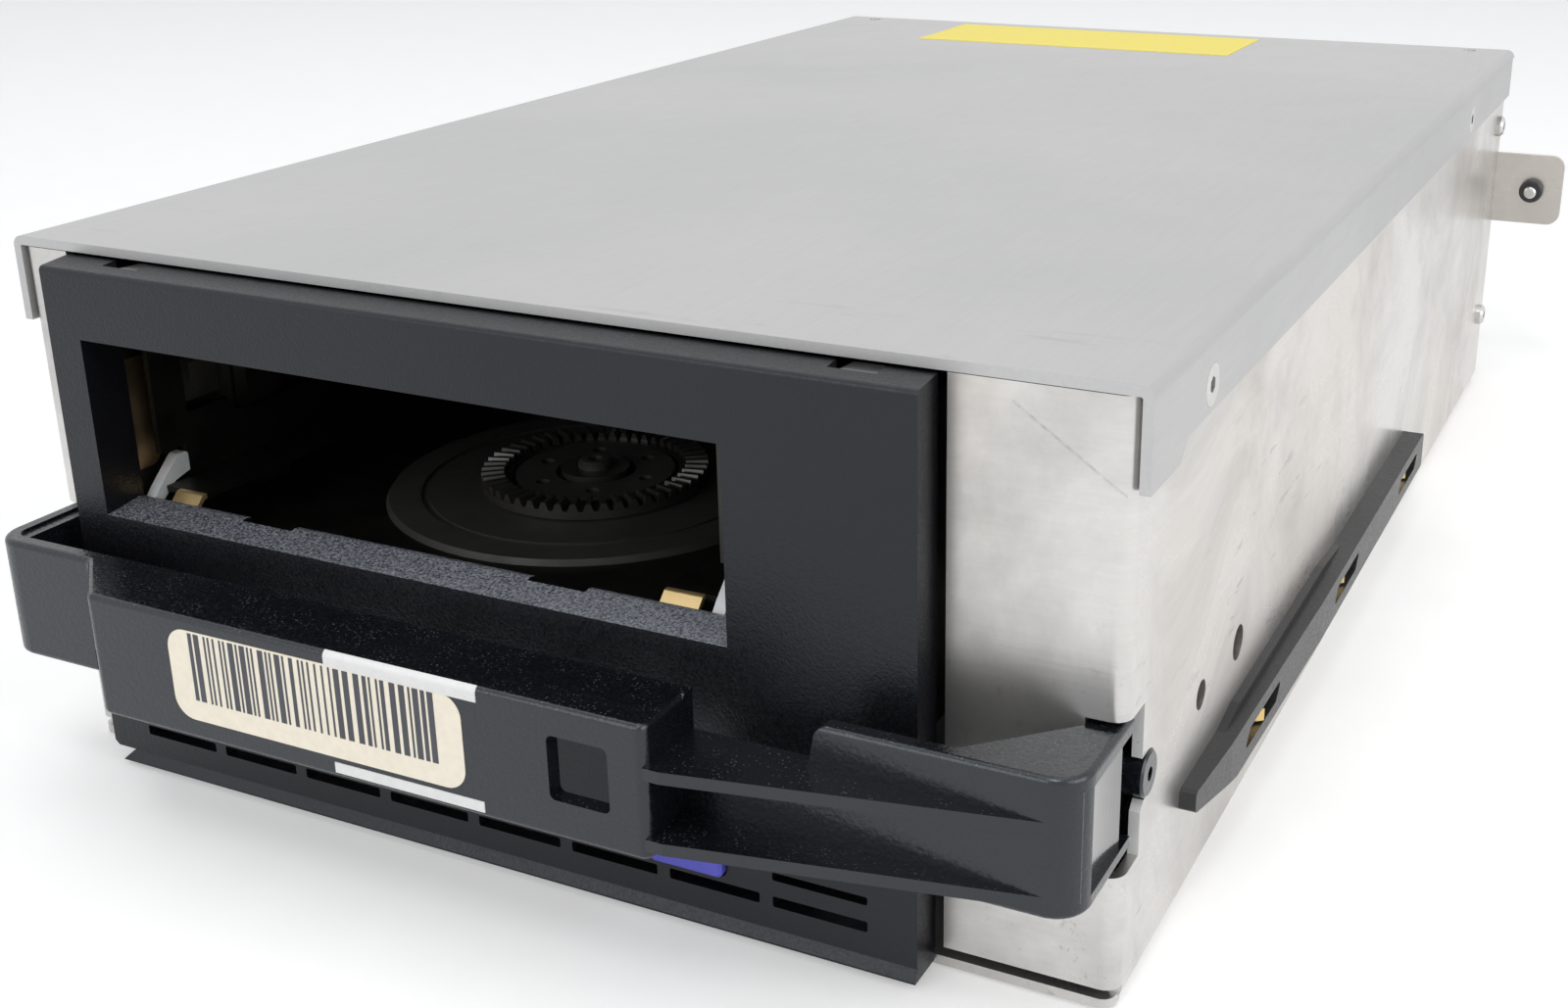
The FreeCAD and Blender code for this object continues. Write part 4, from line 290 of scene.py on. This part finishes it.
def handle_plastic(name):
    """Glossy black moulding with glints painted as bright specks on its up-facing shelves, a painted
    highlight; the recessed end face is polished.
    """
    # the last number is the strength of the painted glints
    m = moulded_black(name, (0.0058, 0.0066, 0.0086), 0.24, 1500.0, 0.26, 0.24)
    m.put("Specular IOR Level", 0.66)
    m.put("Specular Tint", (0.87, 0.93, 1.0, 1.0))
    pin_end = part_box("handle_bail")[1].x
    end = m.product(m.math("GREATER_THAN", m.math("ABSOLUTE", m.facing(0)), 0.95),
                    m.math("GREATER_THAN", m.split()[0], pin_end - END_FACE_IN))
    m.feed(m.mix(end, m.fed("Roughness"), (0.12, 0.12, 0.12)), "Roughness")
    return m.mat


def polished_black(name):
    """Smooth clear-coated black moulding of the handle's end plates."""
    m = Mat(name)
    cloud = m.noise(60.0, 4.0, 0.6)
    m.feed(m.ramp(cloud, (0.3, (0.010, 0.010, 0.012)), (0.7, (0.020, 0.020, 0.023))), "Base Color")
    m.feed(m.ramp(m.noise(130.0, 4.0, 0.6), (0.3, 0.16), (0.7, 0.26)), "Roughness")
    m.put("Coat Weight", 1.0)
    m.put("Coat Roughness", 0.10)
    m.put("Coat IOR", 1.7)
    m.feed(m.bump(m.noise(35.0, 3.0, 0.5), 0.25, 0.0006), "Normal")
    return m.mat


def bezel_plastic(name):
    """Matte black moulding; its up-facing sill is painted a granular blue grey that grows lighter to the
    right, painted light on its top.
    """
    m = moulded_black(name, (0.0045, 0.0046, 0.0062), 0.36, 2400.0, 0.35)
    m.put("Specular IOR Level", 0.43)
    m.put("Specular Tint", (0.88, 0.93, 1.0, 1.0))
    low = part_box("drive_bezel")[0]
    x, y, z = m.split()
    sill = m.product(m.math("LESS_THAN", z, low.z + SILL_Z + SILL_ABOVE),
                     m.math("GREATER_THAN", z, low.z + SILL_Z - SILL_BELOW),
                     m.ramp(m.facing(2), (0.3, 0.0), (0.6, 1.0)),
                     m.math("LESS_THAN", x, low.x + SILL_END))
    # painted light: the sill's top is painted a lighter granular blue grey, brighter towards the right, for
    # the light falling on it
    grains = m.math("ADD", m.noise(2300.0, 3.0, 0.75), m.math("MULTIPLY", x, 0.9))
    lit_sill_granules = m.ramp(grains, (0.37, (0.035, 0.038, 0.048)), (0.63, (0.340, 0.355, 0.400)))
    m.feed(m.mix(sill, m.fed("Base Color"), lit_sill_granules), "Base Color")
    return m.mat


def plain_finish(name, tint, rough, metallic=0.0, grain=220.0, depth=0.08):
    """Small part: even colour with a slight cloud, and a fine surface texture."""
    m = Mat(name)
    m.put("Metallic", metallic)
    cloud = m.noise(90.0, 4.0, 0.6)
    m.feed(m.ramp(cloud, (0.3, scaled(tint, 0.88)), (0.7, scaled(tint, 1.12))), "Base Color")
    fine = m.noise(grain, 3.0, 0.5)
    m.feed(m.ramp(fine, (0.3, rough - 0.06), (0.7, rough + 0.06)), "Roughness")
    m.feed(m.bump(fine, depth, 0.0001), "Normal")
    return m.mat


def paper(name, tint):
    """Label paper, with fibres just visible in its colour, gloss and relief."""
    m = Mat(name)
    fibre = m.noise(700.0, 4.0, 0.6)
    m.feed(m.ramp(fibre, (0.35, scaled(tint, 0.94)), (0.65, tint)), "Base Color")
    m.feed(m.ramp(fibre, (0.3, 0.42), (0.7, 0.52)), "Roughness")
    m.feed(m.bump(fibre, 0.05, 0.0001), "Normal")
    return m.mat


def board_mask(name):
    """Solder mask with tracks showing through."""
    m = Mat(name)
    tracks = m.voronoi(150.0, "DISTANCE_TO_EDGE")
    m.feed(m.ramp(tracks, (0.03, (0.05, 0.26, 0.13)), (0.08, (0.02, 0.13, 0.07))), "Base Color")
    m.put("Roughness", 0.35)
    m.feed(m.bump(tracks, 0.1, 0.0001), "Normal")
    return m.mat


COVER = cover_paint("cover_sheet")
SLED = sled_metal("sled_sheet")
BEZEL = bezel_plastic("bezel_plastic")
HANDLE = handle_plastic("handle_plastic")
RAIL = moulded_black("rail_plastic", (0.0210, 0.0217, 0.0240), 0.38, 2200.0, 0.20).mat
ZINC = plain_finish("zinc_steel", (0.60, 0.60, 0.59), 0.32, 1.0)
BRIGHT = plain_finish("bright_steel", (0.80, 0.80, 0.80), 0.16, 1.0)
DARK = plain_finish("dark_steel", (0.055, 0.054, 0.050), 0.52)
DECK = plain_finish("deck_steel", (0.10, 0.098, 0.090), 0.42, 1.0)
PLATE = plain_finish("plated_steel", (0.34, 0.33, 0.31), 0.36, 1.0)
CAGE = plain_finish("cage_steel", (0.055, 0.054, 0.050), 0.45, 1.0)
CLIP = plain_finish("clip_paint", (0.50, 0.50, 0.51), 0.45)
POLISHED = polished_black("polished_black")
CAST = plain_finish("cast_alloy", (0.50, 0.51, 0.52), 0.50, 1.0, 900.0, 0.25)
BRASS = plain_finish("spring_brass", (0.72, 0.52, 0.22), 0.30, 1.0)
BRONZE = plain_finish("bronze_leaf", (0.50, 0.36, 0.20), 0.42, 1.0)
GOLD = plain_finish("gold_plate", (0.86, 0.64, 0.32), 0.34, 0.8)
NYLON = plain_finish("white_nylon", (0.84, 0.86, 0.87), 0.42)
CLUTCH = plain_finish("clutch_nylon", (0.050, 0.048, 0.043), 0.20)
VIOLET = plain_finish("violet_button", (0.105, 0.105, 0.60), 0.42)
CHIP = plain_finish("black_epoxy", (0.025, 0.025, 0.027), 0.45)
LIGHTS = plain_finish("light_pipe", (0.05, 0.06, 0.055), 0.20)
CREAM = paper("cream_label", (0.94, 0.865, 0.72))
YELLOW = paper("yellow_label", (0.91, 0.76, 0.09))
WHITE = paper("white_mark", (0.82, 0.82, 0.81))
INK = plain_finish("label_ink", (0.055, 0.060, 0.074), 0.5)
GREEN = board_mask("circuit_board")
TAPE = plain_finish("wound_tape", (0.05, 0.04, 0.035), 0.25)

DRESS = {
    # sled
    "chassis_tray": SLED, "rear_panel": SLED, "rear_panel_screws": ZINC,
    "top_cover": COVER, "cover_screws": ZINC, "cover_label": YELLOW,
    "captive_screw_right": ZINC, "captive_screw_left": ZINC,
    "captive_ring_right": RAIL, "captive_ring_left": RAIL,
    "side_rail_right": RAIL, "side_rail_left": RAIL, "rail_springs": BRASS, "rail_screws": ZINC,
    "handle_bail": HANDLE, "handle_label": CREAM,
    # drive: bezel and shell
    "drive_bezel": BEZEL, "bezel_clips": CLIP, "unload_button": VIOLET, "button_switch": CHIP,
    "status_lights": LIGHTS, "front_board": GREEN,
    "drive_base": CAST, "mechanism_deck": DECK, "drive_top_cover": DECK, "sled_screws": ZINC,
    # drive: cartridge carriage
    "carriage_roof": DECK, "carriage_sides": CAGE, "carriage_guides": DECK,
    "carriage_prongs": NYLON, "carriage_tabs": GOLD, "side_spring": BRONZE, "slot_sensor": PLATE,
    # drive: reels, rollers and head
    "reel_motor": DARK, "reel_clutch": CLUTCH, "clutch_screw": DARK, "clutch_armature": DARK,
    "take_up_motor": DARK, "take_up_reel": NYLON, "tape_pack": TAPE,
    "guide_roller_1": BRIGHT, "guide_roller_2": BRIGHT, "guide_roller_3": BRIGHT,
    "guide_roller_4": BRIGHT, "roller_posts": ZINC,
    "head_frame": CAST, "head_carriage": CAST, "tape_head": CHIP,
    # electronics, rear connector and fan
    "main_board": GREEN, "main_board_chips": CHIP, "drive_plug": CHIP, "sled_plug": CHIP,
    "sled_board": GREEN, "board_standoffs": ZINC, "sled_board_parts": CHIP, "board_screws": ZINC,
    "blind_mate_connector": CHIP, "fan_frame": RAIL, "fan_rotor": CHIP, "fan_screws": ZINC,
}


def dress(node, material):
    mesh = NODES[node].data
    if not mesh.materials:
        mesh.materials.append(material)
    for k in range(len(mesh.materials)):
        mesh.materials[k] = material


for dressed_node, node_material in DRESS.items():
    dress(dressed_node, node_material)


# ---------------------------------------------------------------- pieces
def add_piece(name, mesh, material):
    """Put a mesh in the scene as a piece that rides the handle."""
    piece = bpy.data.objects.new(name, mesh)
    bpy.context.scene.collection.objects.link(piece)
    mesh.materials.append(material)
    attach(piece, "handle")
    return piece


def plates(name, boxes, material):
    """One piece of thin plates, each given by its lowest and highest corner."""
    verts = []
    faces = []
    for low, high in boxes:
        n = len(verts)
        verts += [(x, y, z) for x in (low[0], high[0]) for y in (low[1], high[1]) for z in (low[2], high[2])]
        faces += [[n + k for k in quad] for quad in
                  ((0, 1, 3, 2), (4, 6, 7, 5), (0, 4, 5, 1), (2, 3, 7, 6), (0, 2, 6, 4), (1, 5, 7, 3))]
    mesh = bpy.data.meshes.new(name)
    mesh.from_pydata(verts, [], faces)
    mesh.update()
    return add_piece(name, mesh, material)


def solid_of(name, outline, shift, material):
    """Closed piece between a flat outline of points and the same outline moved by shift."""
    count = len(outline)
    verts = [tuple(p) for p in outline] + [tuple(Vector(p) + Vector(shift)) for p in outline]
    faces = [list(range(count))[::-1], list(range(count, 2 * count))]
    faces += [[k, (k + 1) % count, count + (k + 1) % count, count + k] for k in range(count)]
    mesh = bpy.data.meshes.new(name)
    mesh.from_pydata(verts, [], faces)
    mesh.update()
    shape = bmesh.new()
    shape.from_mesh(mesh)
    bmesh.ops.recalc_face_normals(shape, faces=shape.faces)
    shape.to_mesh(mesh)
    shape.free()
    return add_piece(name, mesh, material)


def label_sheet():
    """The handle's label, with round corners; it reaches up to the white stripe."""
    low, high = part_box("handle_label")
    front = low.y + LABEL_FACE
    top = high.z + LABEL_RISE
    r = LABEL_CORNER
    corners = ((high.x - r, top - r, 0), (low.x + r, top - r, 90),
               (low.x + r, low.z + r, 180), (high.x - r, low.z + r, 270))
    outline = []
    for cx, cz, start in corners:
        for k in range(CORNER_STEPS + 1):
            a = math.radians(start + 90 * k / CORNER_STEPS)
            outline.append((cx + r * math.cos(a), front, cz + r * math.sin(a)))
    sheet = solid_of("label_sheet", outline, (0, high.y - front, 0), CREAM)
    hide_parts("handle_label")


def label_bars():
    """Plain dark bars of varied width on the handle's label; they encode nothing."""
    low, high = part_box("handle_label")
    rng = random.Random(BAR_SEED)
    foot = low.z + BARS_FOOT
    head = high.z + LABEL_RISE - BARS_HEAD
    end = high.x - BARS_RIGHT
    x = low.x + BARS_LEFT
    boxes = []
    while x < end:
        width = rng.choice(BAR_WIDTHS_MM) * MM
        boxes.append(((x, low.y, foot), (min(x + width, end), low.y + BAR_DEPTH, head)))
        x += width + rng.choice(BAR_GAPS_MM) * MM
    plates("label_bars", boxes, INK)


def handle_marks():
    """White stripes: one wraps the top edge of the handle's front, one lies near its bottom edge."""
    low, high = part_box("handle_bail")
    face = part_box("handle_label")[1].y
    skin = face - STRIPE_SKIN
    root = face + STRIPE_ROOT
    centre_y = face + HANDLE_EDGE
    centre_z = high.z - HANDLE_EDGE
    outer = [(skin, high.z - STRIPE_DROP)]
    inner = [(root, high.z - STRIPE_DROP)]
    for degrees in range(0, STRIPE_BEND + 1, 10):
        a = math.radians(degrees)
        for side, r in ((outer, HANDLE_EDGE + STRIPE_SKIN), (inner, HANDLE_EDGE - STRIPE_ROOT)):
            side.append((centre_y - r * math.cos(a), centre_z + r * math.sin(a)))
    lower = [(skin, low.z + LOW_STRIPE_FROM), (skin, low.z + LOW_STRIPE_TO),
             (root, low.z + LOW_STRIPE_TO), (root, low.z + LOW_STRIPE_FROM)]
    for name, profile in (("handle_mark_top", outer + inner[::-1]), ("handle_mark_low", lower)):
        outline = [(STRIPE_X, y, z) for y, z in profile]
        solid_of(name, outline, (STRIPE_L, 0, 0), WHITE)


def handle_ends():
    """Smooth dished plates set in the ends of the handle, between its lips."""
    low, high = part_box("handle_bail")
    arm_front = low.y + ARM_BACK
    y0 = arm_front + END_PLATE_FROM
    y1 = arm_front + END_PLATE_TO
    z0 = low.z + END_PLATE_EDGE
    height = high.z - low.z - 2 * END_PLATE_EDGE
    for name, sign in (("handle_end_right", 1), ("handle_end_left", -1)):
        inner = sign * (HANDLE_REACH - END_PLATE_BACK)
        outline = [(inner, y0, z0), (inner, y1, z0)]
        for k in range(END_PLATE_STEPS + 1):
            s = 1.0 - k / END_PLATE_STEPS
            dish = END_PLATE_DISH * (1.0 - (2.0 * s - 1.0) ** 2)
            outline.append((sign * (HANDLE_REACH - END_PLATE_FACE - dish), y0 + (y1 - y0) * s, z0))
        solid_of(name, outline, (0, 0, height), POLISHED)


label_sheet()
label_bars()
handle_marks()
handle_ends()

# ---------------------------------------------------------------- stage
FLOOR_HALF = 6.0                # metres
FLOOR_DROP = 0.0004             # keeps the floor off the sled's underside
FLOOR_GLOW = 0.30               # added only where the floor is seen or mirrored
LAMPS = (                       # name, place, aim, size, power, tint
    ("top_box", (-0.15, 0.10, 1.15), (0.0, 0.0, 0.05), 1.1, 2.9, (1, 1, 1)),
    ("right_box", (1.05, -0.25, 0.55), (0.08, 0.0, 0.05), 0.9, 5.6, (1.0, 0.98, 0.95)),
    ("edge_box", (0.12, -0.55, 0.92), (0.03, -0.15, 0.04), 0.26, 1.6, (1, 1, 1)),
    ("front_box", (-0.35, -1.15, 0.60), (0.0, -0.15, 0.05), 0.8, 3.3, (1, 1, 1)),
)

# Camera fitted to the photograph, with its focal length and principal point in pixels.
IMAGE_W = 1600
IMAGE_H = 1029
FOCAL = 1896.535
CENTRE_U = 884.871
CENTRE_V = 447.974
SENSOR_W = 36.0                 # millimetres
EYE = (0.154686, -0.353887, 0.157025)
EYE_RIGHT = Vector((0.90046652, 0.43484605, -0.00830406))
EYE_DOWN = Vector((0.14022254, -0.30833642, -0.94088591))
EYE_AHEAD = Vector((-0.41170097, 0.84607184, -0.33862184))


def seen_or_mirrored(tree):
    """1 for rays from the eye, off a glossy surface or through a clear one."""
    path = tree.nodes.new("ShaderNodeLightPath")
    level = path.outputs["Is Camera Ray"]
    for kind in ("Is Glossy Ray", "Is Transmission Ray"):
        node = tree.nodes.new("ShaderNodeMath")
        node.operation = "MAXIMUM"
        tree.links.new(level, node.inputs[0])
        tree.links.new(path.outputs[kind], node.inputs[1])
        level = node.outputs[0]
    return level


def build_floor():
    h = FLOOR_HALF
    mesh = bpy.data.meshes.new("floor")
    mesh.from_pydata([(-h, -h, 0), (h, -h, 0), (h, h, 0), (-h, h, 0)], [], [(0, 1, 2, 3)])
    floor = bpy.data.objects.new("floor", mesh)
    bpy.context.scene.collection.objects.link(floor)
    m = Mat("floor_paper")
    m.feed(m.ramp(m.noise(60.0, 2.0, 0.5), (0.3, 0.80), (0.7, 0.83)), "Base Color")
    m.put("Roughness", 0.9)
    m.put("Emission Color", (1, 1, 1, 1))
    m.feed(m.product(seen_or_mirrored(m.tree), FLOOR_GLOW), "Emission Strength")
    mesh.materials.append(m.mat)
    floor.location.z = -FLOOR_DROP


def build_world():
    """White to the eye and in reflections; a softer, cooler level as light."""
    world = bpy.data.worlds.new("studio")
    bpy.context.scene.world = world
    world.use_nodes = True
    tree = world.node_tree
    fill = tree.nodes["Background"]
    fill.inputs["Color"].default_value = (0.95, 0.97, 1.0, 1)
    fill.inputs["Strength"].default_value = 0.50
    seen = tree.nodes.new("ShaderNodeBackground")
    seen.inputs["Color"].default_value = (1, 1, 1, 1)
    seen.inputs["Strength"].default_value = 1.0
    mix = tree.nodes.new("ShaderNodeMixShader")
    tree.links.new(seen_or_mirrored(tree), mix.inputs["Fac"])
    tree.links.new(fill.outputs[0], mix.inputs[1])
    tree.links.new(seen.outputs[0], mix.inputs[2])
    tree.links.new(mix.outputs[0], tree.nodes["World Output"].inputs["Surface"])


def add_lamp(name, place, aim, size, power, tint):
    """Square soft box that faces its aim."""
    data = bpy.data.lights.new(name, "AREA")
    data.energy = power
    data.color = tint
    data.size = size
    light = bpy.data.objects.new(name, data)
    bpy.context.scene.collection.objects.link(light)
    light.location = place
    light.rotation_euler = (Vector(aim) - Vector(place)).to_track_quat("-Z", "Y").to_euler()


def build_camera():
    data = bpy.data.cameras.new("camera")
    data.sensor_width = SENSOR_W
    data.lens = SENSOR_W * FOCAL / IMAGE_W
    data.shift_x = (IMAGE_W / 2 - CENTRE_U) / IMAGE_W
    data.shift_y = (CENTRE_V - IMAGE_H / 2) / IMAGE_W
    data.clip_start = 0.01
    camera = bpy.data.objects.new("camera", data)
    bpy.context.scene.collection.objects.link(camera)
    turn = Matrix((EYE_RIGHT, -EYE_DOWN, -EYE_AHEAD)).transposed().to_4x4()
    camera.matrix_world = Matrix.Translation(EYE) @ turn
    bpy.context.scene.camera = camera


build_floor()
build_world()
for lamp in LAMPS:
    add_lamp(*lamp)
build_camera()
bpy.context.scene.view_settings.view_transform = "Standard"
